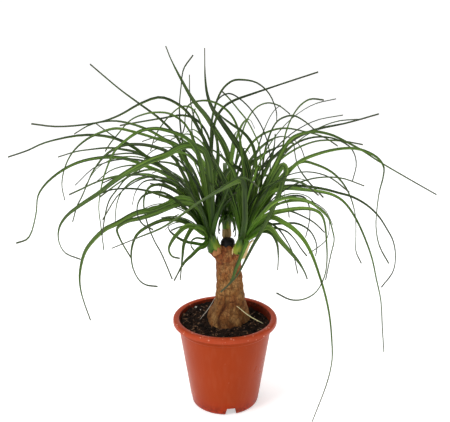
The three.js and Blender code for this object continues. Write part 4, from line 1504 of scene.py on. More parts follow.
@dataclass(frozen=True)
class Filler:
    """A leaf of a crown's drawn sector, which leaves at its lift and bows over by its droop."""

    head: Head
    facing: float
    width: float
    heading: float
    lift: float
    droop: float
    length: float
    far_facing: float | None = None

    def keys(self) -> np.ndarray:
        """Finds the leaf's key points.

        Returns:
            The points, with its root first.
        """
        crown = CROWNS[self.head]
        out = np.array((math.cos(self.heading), math.sin(self.heading), 0))
        shares = (np.arange(FILLER_PIECES) + 0.5) / FILLER_PIECES
        slopes = self.lift - self.droop * shares**FILLER_BOW
        headings = np.outer(np.cos(slopes), out) + np.outer(np.sin(slopes), (0, 0, 1))
        steps = headings * self.length / FILLER_PIECES
        points = crown.middle + crown.grows * FILLER_START + np.cumsum(steps, axis=0)
        return np.vstack((root_points(self.head, points[0]), points))


@dataclass
class Laid:
    """A leaf with the points of its curve."""

    leaf: Traced | Filler
    keys: np.ndarray
    points: np.ndarray = field(init=False)
    widths: np.ndarray = field(init=False)

    def __post_init__(self) -> None:
        """Walks the curve in the steps of the solid blade."""
        fewest, most = WALK_STEPS
        steps = min(max(round(WALK_SHARE * (len(self.keys) - 1)), fewest), most)
        self.points = smooth_curve(self.keys, steps)
        self.widths = np.array([max(width_at(self.leaf, i / steps), LEAF_TIP_WIDTH) for i in range(steps)])


def unit(vector: np.ndarray) -> np.ndarray:
    """The direction of a vector."""
    return vector / np.linalg.norm(vector)


def travelled(points: np.ndarray) -> np.ndarray:
    """How far a walk of points has come at each of them."""
    return np.concatenate(([0], np.cumsum(np.linalg.norm(np.diff(points, axis=0), axis=1))))


def smooth_curve(keys: np.ndarray, steps: int) -> np.ndarray:
    """Walks a centripetal Catmull-Rom curve in equal steps of its parameter.

    Args:
        keys: The points that the curve passes.
        steps: How many steps to take.

    Returns:
        The points on the curve, one more than the steps.
    """
    padded = np.vstack((2 * keys[0] - keys[1], keys, 2 * keys[-1] - keys[-2]))
    last = len(keys) - 1
    place = np.linspace(0, last, steps + 1)
    start = np.minimum(place.astype(int), last - 1)
    share = (place - start)[:, None]
    p0, p1, p2, p3 = (padded[start + offset] for offset in range(4))
    d0, d1, d2 = (np.linalg.norm(b - a, axis=1)[:, None] ** 0.5 for a, b in ((p0, p1), (p1, p2), (p2, p3)))
    leave = ((p1 - p0) / d0 - (p2 - p0) / (d0 + d1) + (p2 - p1) / d1) * d1
    arrive = ((p2 - p1) / d1 - (p3 - p1) / (d1 + d2) + (p3 - p2) / d2) * d1
    square = 3 * (p2 - p1) - 2 * leave - arrive
    cube = 2 * (p1 - p2) + leave + arrive
    return p1 + leave * share + square * share**2 + cube * share**3


def root_points(head: Head, target: np.ndarray) -> np.ndarray:
    """Finds the points where a leaf starts: sunk in the crown's core, and leaving the sheath.

    Args:
        head: The leaf's head.
        target: The next point of the leaf.

    Returns:
        The two points.
    """
    crown = CROWNS[head]
    rise = unit(target - crown.middle) @ crown.grows
    seat = crown.middle + crown.grows * crown.core_length * (SEAT_LOWEST + SEAT_CLIMB * max(rise, 0))
    outward = target - seat
    outward = unit(outward - crown.grows * (outward @ crown.grows))
    return np.vstack((seat + outward * SEAT_OUT, seat + outward * LEAVE_OUT + crown.grows * LEAVE_UP))


def width_at(leaf: Traced | Filler, share: float, taper_power: float = LEAF_TAPER_POWER) -> float:
    """A blade's width at a share of its length, before its thread tip."""
    grown = smoothstep(share, 0, LEAF_BASE_LENGTH)
    return leaf.width * (1 - share**taper_power) * lerp(LEAF_BASE_SHARE, 1, grown)


def is_clear(laid: Laid, placed: list[Laid]) -> bool:
    """Tells whether a leaf keeps clear of every leaf of the other crowns.

    Args:
        laid: The leaf.
        placed: The leaves that are already in place.

    Returns:
        Whether it does.
    """
    others = [other for other in placed if other.leaf.head != laid.leaf.head]
    if not others:
        return True
    starts = np.vstack([other.points[:-1] for other in others])
    spans = np.vstack([np.diff(other.points, axis=0) for other in others])
    widths = np.concatenate([other.widths for other in others])
    own = laid.points[:-1] + np.diff(laid.points, axis=0) * CHORD_SHARES[:, None, None]
    own_widths = np.tile(laid.widths, len(CHORD_SHARES))[:, None]
    offsets = own.reshape(-1, 1, 3) - starts
    shares = np.clip((offsets * spans).sum(2) / (spans**2).sum(1), 0, 1)
    distances = np.linalg.norm(offsets - shares[..., None] * spans, axis=2)
    return bool((distances > (own_widths + widths) / 2 + LEAF_CLEARANCE).all())


def bend_clear(leaf: Traced, placed: list[Laid]) -> Laid | None:
    """Bends a traced leaf's middle nearer or farther until it passes the other crowns' leaves.

    Args:
        leaf: The leaf.
        placed: The leaves that are already in place.

    Returns:
        The laid leaf, or None where no bend helps.
    """
    for step in range(BEND_TRIES):
        belly = math.ceil(step / 2) * BEND_STEP * (1 if step % 2 else -1)
        laid = Laid(leaf, leaf.keys(belly))
        if is_clear(laid, placed):
            return laid
    return None


@dataclass(frozen=True)
class Sector:
    """Drawn leaves of a crown, with the range of every size.

    They head from start to end, in degrees from the right, turning away from the eye.
    """

    head: Head
    count: int
    start: float
    end: float
    widths: tuple[float, float] = (4.5, 7.5)
    lifts: tuple[float, float] = (56, 88)
    droops: tuple[float, float] = (70, 150)
    lengths: tuple[float, float] = (110, 215)
    facings: tuple[float, float] = (-0.2, 0.4)

    def fill(self, turn: int, draw: Draw, placed: list[Laid]) -> Laid | None:
        """Draws a leaf of the sector again until it passes the other crowns' leaves.

        Args:
            turn: The leaf's number in the sector.
            draw: The row of draws.
            placed: The leaves that are already in place.

        Returns:
            The laid leaf, or None where no draw passes.
        """
        for _ in range(FILLER_TRIES):
            heading = lerp(self.start, self.end, turn * GOLDEN_SHARE % 1)
            heading += draw.between(-FILLER_SWAY, FILLER_SWAY)
            leaf = Filler(
                head=self.head,
                facing=draw.between(*self.facings),
                width=draw.between(*self.widths),
                heading=math.radians(heading),
                lift=math.radians(draw.between(*self.lifts)),
                droop=math.radians(draw.between(*self.droops)),
                length=draw.between(*self.lengths),
            )
            laid = Laid(leaf, leaf.keys())
            if is_clear(laid, placed):
                return laid
        return None


TRACED_LEAVES = [
    Traced(LEFT, 3.5, -110, [(-50, 312), (-68, 333), (-90, 350), (-110, 365), (-140, 391)]),
    Traced(LEFT, 4, -60, [(-50, 304), (-62, 311), (-83, 323), (-104, 330), (-120, 332), (-143, 328),
        (-161, 318)]),
    Traced(LEFT, 3, -100, [(-16, 310), (-30, 333), (-45, 338), (-66, 335), (-90, 331), (-112, 327)]),
    Traced(LEFT, 4.5, 30, [(-54, 304), (-74, 313), (-100, 321), (-116, 324), (-132, 320), (-150, 311),
        (-165, 297), (-174, 280), (-178, 262), (-176, 245)]),
    Traced(LEFT, 7, 80, [(-20, 296), (-30, 304), (-40, 306), (-50, 303), (-64, 295), (-81, 289),
        (-101, 279), (-120, 267), (-138, 253), (-158, 240), (-175, 227), (-184, 214), (-186, 198),
        (-180, 184), (-163, 176)], facing=2.5),
    Traced(LEFT, 4.5, 45, [(-36, 292), (-55, 298), (-85, 284), (-115, 265), (-138, 248)]),
    Traced(LEFT, 5, 15, [(-60, 270), (-88, 284), (-106, 291), (-125, 293), (-153, 289), (-174, 280),
        (-195, 264), (-205, 250), (-209, 229), (-220, 201), (-234, 195)], far_facing=3.5),
    Traced(LEFT, 4.5, -10, [(-60, 274), (-83, 292), (-100, 305), (-120, 314), (-150, 317), (-192, 309),
        (-213, 300), (-234, 293)]),
    Traced(LEFT, 3, -130, [(-60, 272), (-88, 296), (-117, 314), (-137, 329)]),
    Traced(LEFT, 3, -90, [(-38, 322), (-57, 339), (-74, 341), (-86, 339), (-100, 333), (-116, 316),
        (-123, 308), (-129, 299)]),
    Traced(LEFT, 5.5, 95, [(-30, 300), (-42, 314), (-62, 322), (-74, 324), (-91, 321), (-109, 309),
        (-119, 299), (-128, 281), (-134, 264), (-139, 238), (-138, 216), (-136, 187)], far_facing=3.5),
    Traced(LEFT, 4.5, 60, [(-56, 294), (-75, 304), (-95, 307), (-112, 305), (-129, 295), (-144, 276),
        (-149, 266), (-157, 249), (-163, 238), (-169, 220)], far_facing=3.5),
    Traced(LEFT, 5, -70, [(-70, 284), (-95, 298), (-108, 301), (-124, 303), (-147, 301), (-160, 299),
        (-180, 293)]),
    Traced(LEFT, 3, -150, [(-60, 276), (-85, 293), (-100, 297), (-127, 295)]),
    Traced(LEFT, 4.5, 186, [(-40, 258), (-62, 274), (-80, 279), (-92, 277), (-108, 269), (-118, 257),
        (-127, 245), (-132, 230), (-137, 205)]),
    Traced(LEFT, 6, 100, [(-32, 241), (-50, 247), (-64, 240), (-79, 234), (-98, 230), (-120, 218),
        (-134, 211), (-152, 193), (-159, 181), (-165, 157), (-165, 139), (-162, 123),
        (-156, 101)], facing=2.5),
    Traced(LEFT, 6, 82, [(-30, 236), (-48, 241), (-79, 229), (-95, 224), (-110, 220), (-120, 212),
        (-118, 202), (-112, 189), (-106, 178)], facing=2.5),
    Traced(LEFT, 3, -50, [(-50, 262), (-80, 271), (-98, 268), (-112, 256), (-119, 241), (-122, 219)]),
    Traced(LEFT, 5.5, 110, [(-32, 212), (-45, 220), (-58, 223), (-69, 222), (-87, 214), (-99, 204),
        (-105, 187), (-105, 170), (-102, 159), (-97, 150), (-90, 145), (-77, 143)], far_facing=3.5),
    Traced(LEFT, 3, 62, [(-45, 248), (-66, 262), (-82, 260), (-89, 246), (-87, 222), (-79, 198),
        (-72, 184), (-60, 152)], far_facing=3.5),
    Traced(LEFT, 2.5, -60, [(-26, 330), (-36, 346), (-46, 347), (-56, 340), (-66, 329), (-75, 315),
        (-80, 300)]),
    Traced(LEFT, 4.5, 60, [(-40, 232), (-57, 245), (-72, 251), (-88, 256), (-105, 258), (-127, 256),
        (-150, 246)]),
    Traced(LEFT, 4.5, -30, [(-50, 258), (-80, 273), (-105, 273), (-122, 271), (-141, 265), (-158, 257),
        (-171, 251)]),
    Traced(LEFT, 4, 34, [(-40, 250), (-66, 266), (-88, 266), (-98, 254), (-102, 240)]),
    Traced(LEFT, 3, 84, [(-46, 238), (-70, 254), (-88, 251), (-95, 243), (-97, 230), (-92, 218),
        (-80, 211)]),
    Traced(LEFT, 6, 76, [(-26, 208), (-36, 215), (-44, 214), (-52, 207), (-59, 198), (-63, 188),
        (-60, 180), (-51, 177)], facing=1.8),
    Traced(LEFT, 3, 48, [(-24, 194), (-34, 195), (-44, 197), (-55, 203), (-63, 212), (-62, 220),
        (-58, 225), (-51, 229)]),
    Traced(LEFT, 5, 58, [(-26, 213), (-35, 214), (-41, 206), (-46, 194), (-48, 178),
        (-51, 151)], facing=1.8),
    Traced(LEFT, 4, 44, [(-22, 192), (-29, 189), (-37, 181), (-46, 172), (-58, 150)], facing=1.8),
    Traced(LEFT, 4, -14, [(-26, 210), (-38, 215), (-50, 214), (-60, 210)]),
    Traced(LEFT, 3, 26, [(-24, 200), (-32, 201), (-37, 198), (-38, 192), (-35, 187)]),
    Traced(LEFT, 3, -70, [(-36, 270), (-45, 305), (-48, 332), (-48, 350), (-46, 368), (-43, 386),
        (-33, 400)]),
    Traced(LEFT, 4.5, 26, [(-13, 212), (-10, 224), (-6, 236), (-1, 247), (4, 260), (10, 268), (18, 271),
        (26, 268), (36, 260)], facing=2.5),
    Traced(LEFT, 3, -60, [(-14, 262), (-15, 300), (-14, 332), (-9, 352), (-2, 366), (8, 374), (18, 375),
        (33, 372), (46, 361), (54, 343), (55, 330)]),
    Traced(LEFT, 7, -20, [(-18.5, 230), (-24.5, 252), (-32, 266), (-39, 275), (-48, 282), (-59.5, 286.5),
        (-72, 288)]),
    Traced(LEFT, 5.5, -60, [(-18.5, 233), (-21, 260), (-24, 282), (-28, 299), (-33, 311), (-35.5, 323),
        (-34.5, 336), (-31.5, 345)]),
    Traced(LEFT, 8, -46, [(-9, 233), (-4.5, 258), (1.5, 275), (11, 282), (21, 275), (29, 265),
        (34, 252)]),
    Traced(LEFT, 7.5, -34, [(-15, 233), (-14, 255), (-11, 273), (-7.5, 292), (-8.5, 310), (-12.5, 323),
        (-18, 333)]),
    Traced(LEFT, 3.5, -80, [(-14, 262), (-14, 306), (-10, 333), (-2, 346), (8, 353), (30, 361),
        (60, 371), (97, 383)]),
    Traced(RIGHT, 6.2, -12, [(16, 216), (13, 229), (10, 241), (4, 257), (-5, 275), (-13, 291),
        (-25, 318), (-37, 338), (-50, 350), (-68, 357), (-90, 350), (-110, 339), (-128, 332),
        (-150, 328), (-180, 326), (-206, 329)], facing=1.4),
    Traced(RIGHT, 6, 72, [(20, 206), (22, 220), (22, 236), (21.5, 250), (21, 261), (17, 267), (8, 264),
        (-7, 255), (-30, 241), (-49, 227), (-70, 213), (-96, 202),
        (-127, 189)], facing=3, far_facing=0.5),
    Traced(RIGHT, 6.5, 48, [(28, 212), (38, 236), (50, 262), (58, 277), (63, 284), (66, 279), (63, 267),
        (59, 252), (52, 234), (43, 214), (32, 194), (23, 175), (13, 155), (-3, 138)], facing=3),
    Traced(RIGHT, 5, 34, [(23, 201), (24, 196), (21, 188), (17, 177), (12, 164), (7, 149),
        (-5, 136)], facing=2.5),
    Traced(RIGHT, 8.5, -70, [(26, 236), (28, 260), (25, 280), (18, 299), (9, 313), (-4, 332), (-13, 345),
        (-18, 358), (-20.5, 376), (-21, 407)]),
    Traced(RIGHT, 5.5, 26, [(30, 218), (42, 250), (49, 278), (48, 299), (42, 320), (34, 335), (24, 348),
        (12, 358), (4, 361), (-4, 358), (-10, 351)]),
    Traced(RIGHT, 7, -14, [(28, 228), (34, 258), (34, 284), (31, 303), (25, 314), (17, 322), (8, 328),
        (-4, 337), (-15, 347)]),
    Traced(RIGHT, 2.5, -60, [(32, 240), (38, 275), (37, 304), (30, 321), (23, 333), (14, 344), (4, 356),
        (-3, 363)]),
    Traced(RIGHT, 6.5, -14, [(26, 215), (36, 243), (45, 264), (54, 283), (63, 302), (72, 314), (84, 319),
        (97, 320.5), (114, 317), (131, 309), (148, 300), (165, 289), (198, 270), (232, 251)]),
    Traced(RIGHT, 5.5, 42, [(26, 212), (40, 232), (52, 252), (64, 270), (79, 287), (98, 296), (122, 302),
        (140, 302.5), (155, 298), (166, 291), (172, 282), (172, 271), (169, 255), (167.5, 232),
        (168, 213), (173, 192), (185, 171)], far_facing=3.5),
    Traced(RIGHT, 3, -95, [(38, 250), (56, 286), (73, 300), (87, 307), (102, 311), (125, 310.5),
        (148, 306.5)]),
    Traced(RIGHT, 5, -50, [(34, 235), (52, 272), (61, 298), (64.5, 318), (71, 336), (80, 349), (90, 355),
        (104, 354)]),
    Traced(RIGHT, 5, -26, [(34, 232), (40, 268), (42, 294), (47, 315), (55, 331), (64, 336.5),
        (73, 337.5), (84, 332), (96, 322)]),
    Traced(RIGHT, 6.5, 62, [(30, 222), (42, 243), (52, 254), (66, 258), (83, 257), (100, 255),
        (115, 252), (127, 246), (136, 237), (147, 220), (158, 197), (166, 176), (172, 153), (179, 126),
        (183, 92), (187, 60)]),
    Traced(RIGHT, 4.5, -30, [(32, 226), (45, 248), (60, 259), (80, 261), (108, 257.5), (125, 253),
        (139, 249), (156, 239.5), (170, 226.5), (180, 212), (188, 198), (192, 180), (190.5, 161),
        (178.6, 142)], far_facing=2),
    Traced(RIGHT, 5, 104, [(30, 214), (42, 230), (52, 241), (63, 246.5), (75, 247.5), (90, 244.5),
        (104, 235), (114.5, 224.5), (120, 209), (122, 199), (119, 181), (114.5, 151)], far_facing=3.5),
    Traced(RIGHT, 5.5, 76, [(28, 208), (38, 221), (50, 229), (66, 233), (84, 235.5), (98, 234),
        (106, 229), (110.5, 219), (113.5, 197), (115, 176), (113, 155), (104, 136), (91, 127.5),
        (76, 126.5), (59, 135)], far_facing=3.5),
    Traced(RIGHT, 2.5, 38, [(36, 224), (60, 241), (85, 244), (103, 237), (114, 226), (116, 213),
        (113, 199), (104, 190), (94, 183)]),
    Traced(RIGHT, 3, -64, [(36, 218), (54, 231), (69, 233), (85, 227), (99, 219), (111, 207.5)]),
    Traced(RIGHT, 3, -24, [(36, 226), (56, 244), (75, 250), (87, 248), (93, 237), (93.5, 221),
        (90, 202)], far_facing=3.5),
    Traced(RIGHT, 4, 20, [(32, 208), (48, 216), (66, 218), (80, 218), (93, 211), (100, 201), (103, 190),
        (102, 180)]),
    Traced(RIGHT, 5, 50, [(32, 205), (45, 212), (57, 212.5), (69, 208.5), (78, 199.5), (85, 189),
        (92, 180)]),
    Traced(RIGHT, 6, 90, [(30, 206), (42, 219), (52, 225), (65, 219), (78, 210), (89, 197.5), (98, 181),
        (107, 157), (115, 132), (121, 106), (125, 75), (126.5, 50), (122, 20), (106, -34)]),
    Traced(RIGHT, 6.5, 66, [(30, 204), (41, 212), (50, 213), (60, 200), (73, 185), (84, 171.5),
        (91, 159), (93.6, 152)], facing=1.8),
    Traced(RIGHT, 4, 44, [(32, 208), (46, 219), (58, 213), (70, 196), (77, 181), (82.4, 159)]),
    Traced(RIGHT, 4, 26, [(30, 202), (42, 209), (52, 206), (58, 195), (60, 180),
        (59.7, 163)], facing=1.8),
    Traced(RIGHT, 4.5, -46, [(34, 225), (54, 262), (70, 280), (84, 288), (98, 285), (115, 277),
        (127, 266), (137, 250), (144, 228), (146, 205), (147, 186), (154, 171)], far_facing=3.5),
    Traced(RIGHT, 4.5, 6, [(34, 222), (50, 264), (61, 292), (69, 308), (73, 308), (75, 298), (79, 283),
        (90, 267), (108, 248)]),
    Traced(RIGHT, 3, -74, [(40, 248), (60, 294), (80, 310), (100, 315), (120, 312), (136, 302),
        (142, 286), (139, 267)], far_facing=3.5),
    Traced(BACK, 7.5, -120, [(8, 250), (9, 277), (4, 293), (-2, 308), (-10, 321), (-20, 337), (-33, 353),
        (-45, 374), (-56, 396), (-61, 409)]),
    Traced(RIGHT, 6, -36, [(22, 246), (20, 280), (17, 306), (13, 326), (6, 339), (-4, 348), (-16, 353),
        (-28, 353), (-38, 349), (-42, 338), (-43, 326), (-49, 309)]),
    Traced(RIGHT, 8, -24, [(17.5, 233), (15, 252), (13, 267), (7, 282), (-1.5, 292), (-10, 299),
        (-18, 303)]),
    Traced(RIGHT, 7.5, -30, [(24, 230), (30, 250), (37, 265), (44, 278), (50, 292), (53, 306),
        (53.5, 318)]),
    Traced(BACK, 6, -80, [(10, 246), (20, 266), (31, 276), (44, 285), (58, 298), (72, 311), (94, 322),
        (130, 330), (163, 339.5)]),
    Traced(BACK, 3, -150, [(10, 262), (22, 298), (36, 315), (54, 323), (67, 324), (83, 321), (105, 315),
        (121, 305)]),
    Traced(BACK, 2.5, -112, [(8, 262), (15, 306), (23, 332), (33, 346), (45, 351), (57, 348),
        (69, 339)]),
    Traced(BACK, 4.5, -186, [(-4, 262), (-14, 290), (-26, 310), (-40, 318), (-58, 312)]),
    Traced(BACK, 3, -130, [(-6, 268), (-22, 312), (-34, 340), (-37, 362), (-37, 380)]),
    Traced(BACK, 7.5, -60, [(0, 233), (-5, 254), (-8, 271), (-12, 288), (-17, 301), (-24, 309)]),
    Traced(BACK, 7.5, -50, [(7, 233), (12, 252), (19, 269), (26, 283), (36, 292), (48, 300), (62, 306)]),
]

SECTORS = (Sector(LEFT, 11, 105, 232), Sector(RIGHT, 11, -48, 78), Sector(BACK, 13, 15, 168))
FINE_WIDTHS = (2.4, 4.2)
INNER_WIDTHS = (4.0, 6.5)
FINE_SECTORS = (
    Sector(BACK, 18, 185, 355, INNER_WIDTHS, (2, 45), (0, 40), (24, 44), facings=(0.5, 1.5)),
    Sector(BACK, 24, 170, 370, FINE_WIDTHS, (20, 75), (20, 50), (36, 80)),
    Sector(LEFT, 7, 55, 95, INNER_WIDTHS, (46, 70), (50, 110), (50, 90), facings=(0.5, 1.5)),
    Sector(RIGHT, 7, 90, 118, INNER_WIDTHS, (46, 70), (50, 110), (50, 90), facings=(0.5, 1.5)),
    Sector(RIGHT, 8, 140, 230, INNER_WIDTHS, (72, 87), (5, 50), (60, 120), facings=(0.3, 1.2)),
    Sector(LEFT, 8, -50, 40, INNER_WIDTHS, (72, 87), (5, 50), (60, 120), facings=(0.3, 1.2)),
    Sector(LEFT, 10, 90, 240, FINE_WIDTHS, (40, 85), (40, 100), (60, 110)),
    Sector(BACK, 13, 165, 245, FINE_WIDTHS, (10, 35), (120, 160), (24, 42), facings=(0.6, 1.5)),
    Sector(BACK, 14, 295, 375, FINE_WIDTHS, (10, 35), (120, 160), (24, 44), facings=(0.6, 1.5)),
)


def place_leaves() -> list[Laid]:
    """Places every traced leaf, then the drawn ones between them, then the short fine ones inside.

    Returns:
        The leaves that found a place.
    """
    placed: list[Laid] = []
    for leaf in TRACED_LEAVES:
        laid = bend_clear(leaf, placed)
        if laid:
            placed.append(laid)
    draw = Draw(FILLER_SEED)
    for sector in SECTORS + FINE_SECTORS:
        for turn in range(sector.count):
            laid = sector.fill(turn, draw, placed)
            if laid:
                placed.append(laid)
    return placed


READINGS = ("across", "along", "reach", "tone")


@dataclass
class Strap:
    """A thin strap along a walk of points: channelled above, with readings for its finish."""

    points: np.ndarray
    widths: np.ndarray
    faces: np.ndarray
    tone: float
    channel: float = 0.13
    across: int = 4
    thickness: float = 0.8

    def add_to(self, bm: bmesh.types.BMesh) -> None:
        """Adds the strap to a bmesh that carries the readings' layers.

        Args:
            bm: The bmesh.
        """
        steps = len(self.points) - 1
        reach = travelled(self.points)
        tangents = np.gradient(self.points, axis=0)
        sides = np.cross(self.faces, tangents)
        sides /= np.linalg.norm(sides, axis=1)[:, None]
        layers = {name: bm.verts.layers.float[name] for name in READINGS}
        grid = bmesh.ops.create_grid(bm, x_segments=self.across, y_segments=steps, size=1)["verts"]
        for vert in grid:
            across = vert.co.x
            along = (vert.co.y + 1) / 2
            i = round(along * steps)
            lift = self.channel * self.widths[i] * (across * across - 0.5)
            offset = sides[i] * across * self.widths[i] / 2 + self.faces[i] * lift
            vert.co = self.points[i] + offset
            vert[layers["across"]] = across
            vert[layers["along"]] = along
            vert[layers["reach"]] = reach[i]
            vert[layers["tone"]] = self.tone
        blade = dict.fromkeys(face for vert in grid for face in vert.link_faces)
        bmesh.ops.solidify(bm, geom=list(blade), thickness=self.thickness)


def new_strap_mesh() -> bmesh.types.BMesh:
    """Starts a bmesh with the readings that strap finishes use.

    Returns:
        The bmesh.
    """
    bm = bmesh.new()
    for name in READINGS:
        bm.verts.layers.float.new(name)
    return bm


@dataclass(frozen=True)
class Flake:
    """A strap that hugs a crown's core: a clasping leaf foot, or the papery rest of an older leaf."""

    head: Head
    heading: float
    heights: tuple[float, float]
    outs: tuple[float, float]
    width: float
    hug: float = 0.3
    thickness: float = 0.4
    steps: int = 10
    across: int = 6
    taper_power: float = 2.5
    least_width: float = 0.12

    def strap(self, tone: float) -> Strap:
        """Lays the flake's strap, widest near its foot and pointed at its top.

        Args:
            tone: The tone that its finish reads.

        Returns:
            The strap.
        """
        crown = CROWNS[self.head]
        turn = math.radians(self.heading)
        out = np.array((math.cos(turn), math.sin(turn), 0))
        out = unit(out - crown.grows * (out @ crown.grows))
        shares = np.linspace(0, 1, self.steps + 1)
        heights = lerp(self.heights[0], self.heights[1], shares)
        radii = np.array([crown.core_radius(height) for height in heights])
        radii += lerp(self.outs[0], self.outs[1], shares**2)
        points = crown.middle + np.outer(heights, crown.grows) + np.outer(radii, out)
        widths = self.width * np.clip(1 - shares**self.taper_power, self.least_width, 1)
        faces = np.tile(-out, (self.steps + 1, 1))
        return Strap(points, widths, faces, tone, self.hug, self.across, self.thickness)


@dataclass
class PaperySheaths:
    """The papery rests of older leaves: a brown collar left, cream flakes right, a ring at the back."""

    effects: Effects
    collar: tuple[Flake, ...] = (
        Flake(LEFT, -88, (-4, 2.5), (0.9, 1.4), 6),
        Flake(LEFT, -48, (-3.5, 4), (1.2, 2.6), 7),
        Flake(LEFT, -8, (-3, 3), (1.0, 2.4), 7),
        Flake(LEFT, 60, (-3, 3), (0.6, 1.4), 8),
        Flake(LEFT, 120, (-3, 4), (0.6, 1.4), 8),
    )
    cream: tuple[Flake, ...] = (
        Flake(RIGHT, -34, (-3, 22), (0.8, 10.0), 11),
        Flake(RIGHT, -6, (-3, 20), (0.8, 8.0), 10),
        Flake(RIGHT, 18, (-3, 14), (0.6, 6.0), 8),
        Flake(RIGHT, -48, (-3.5, 6), (0.6, 1.6), 7),
        Flake(RIGHT, 60, (-3.5, 7), (0.6, 1.4), 8),
        Flake(RIGHT, 115, (-3.5, 5), (0.6, 1.2), 8),
        Flake(RIGHT, 170, (-3.5, 6), (0.6, 1.2), 8),
    )
    ring: tuple[Flake, ...] = tuple(
        Flake(BACK, heading, (-9, top), (1.2, 1.4), 5.5)
        for heading, top in ((-110, 1), (-50, 2.5), (10, 0.5), (70, 2), (130, 1), (190, 2))
    )
    tone: float = 0.5

    def build(self) -> None:
        """Builds and dresses the three groups."""
        groups = {
            "collar_left": (self.collar, srgb(184, 122, 66), srgb(96, 48, 22)),
            "sheath_right": (self.cream, srgb(214, 190, 134), srgb(150, 108, 56)),
            "sheath_back": (self.ring, srgb(178, 144, 84), srgb(92, 62, 30)),
        }
        for name, (flakes, light, dark) in groups.items():
            bm = new_strap_mesh()
            for flake in flakes:
                flake.strap(self.tone).add_to(bm)
            piece = to_mesh(name, bm)
            shade_smooth(piece, sharp_degrees=50)
            publish(piece, DryLeaf(self.effects, name, light, dark).material())


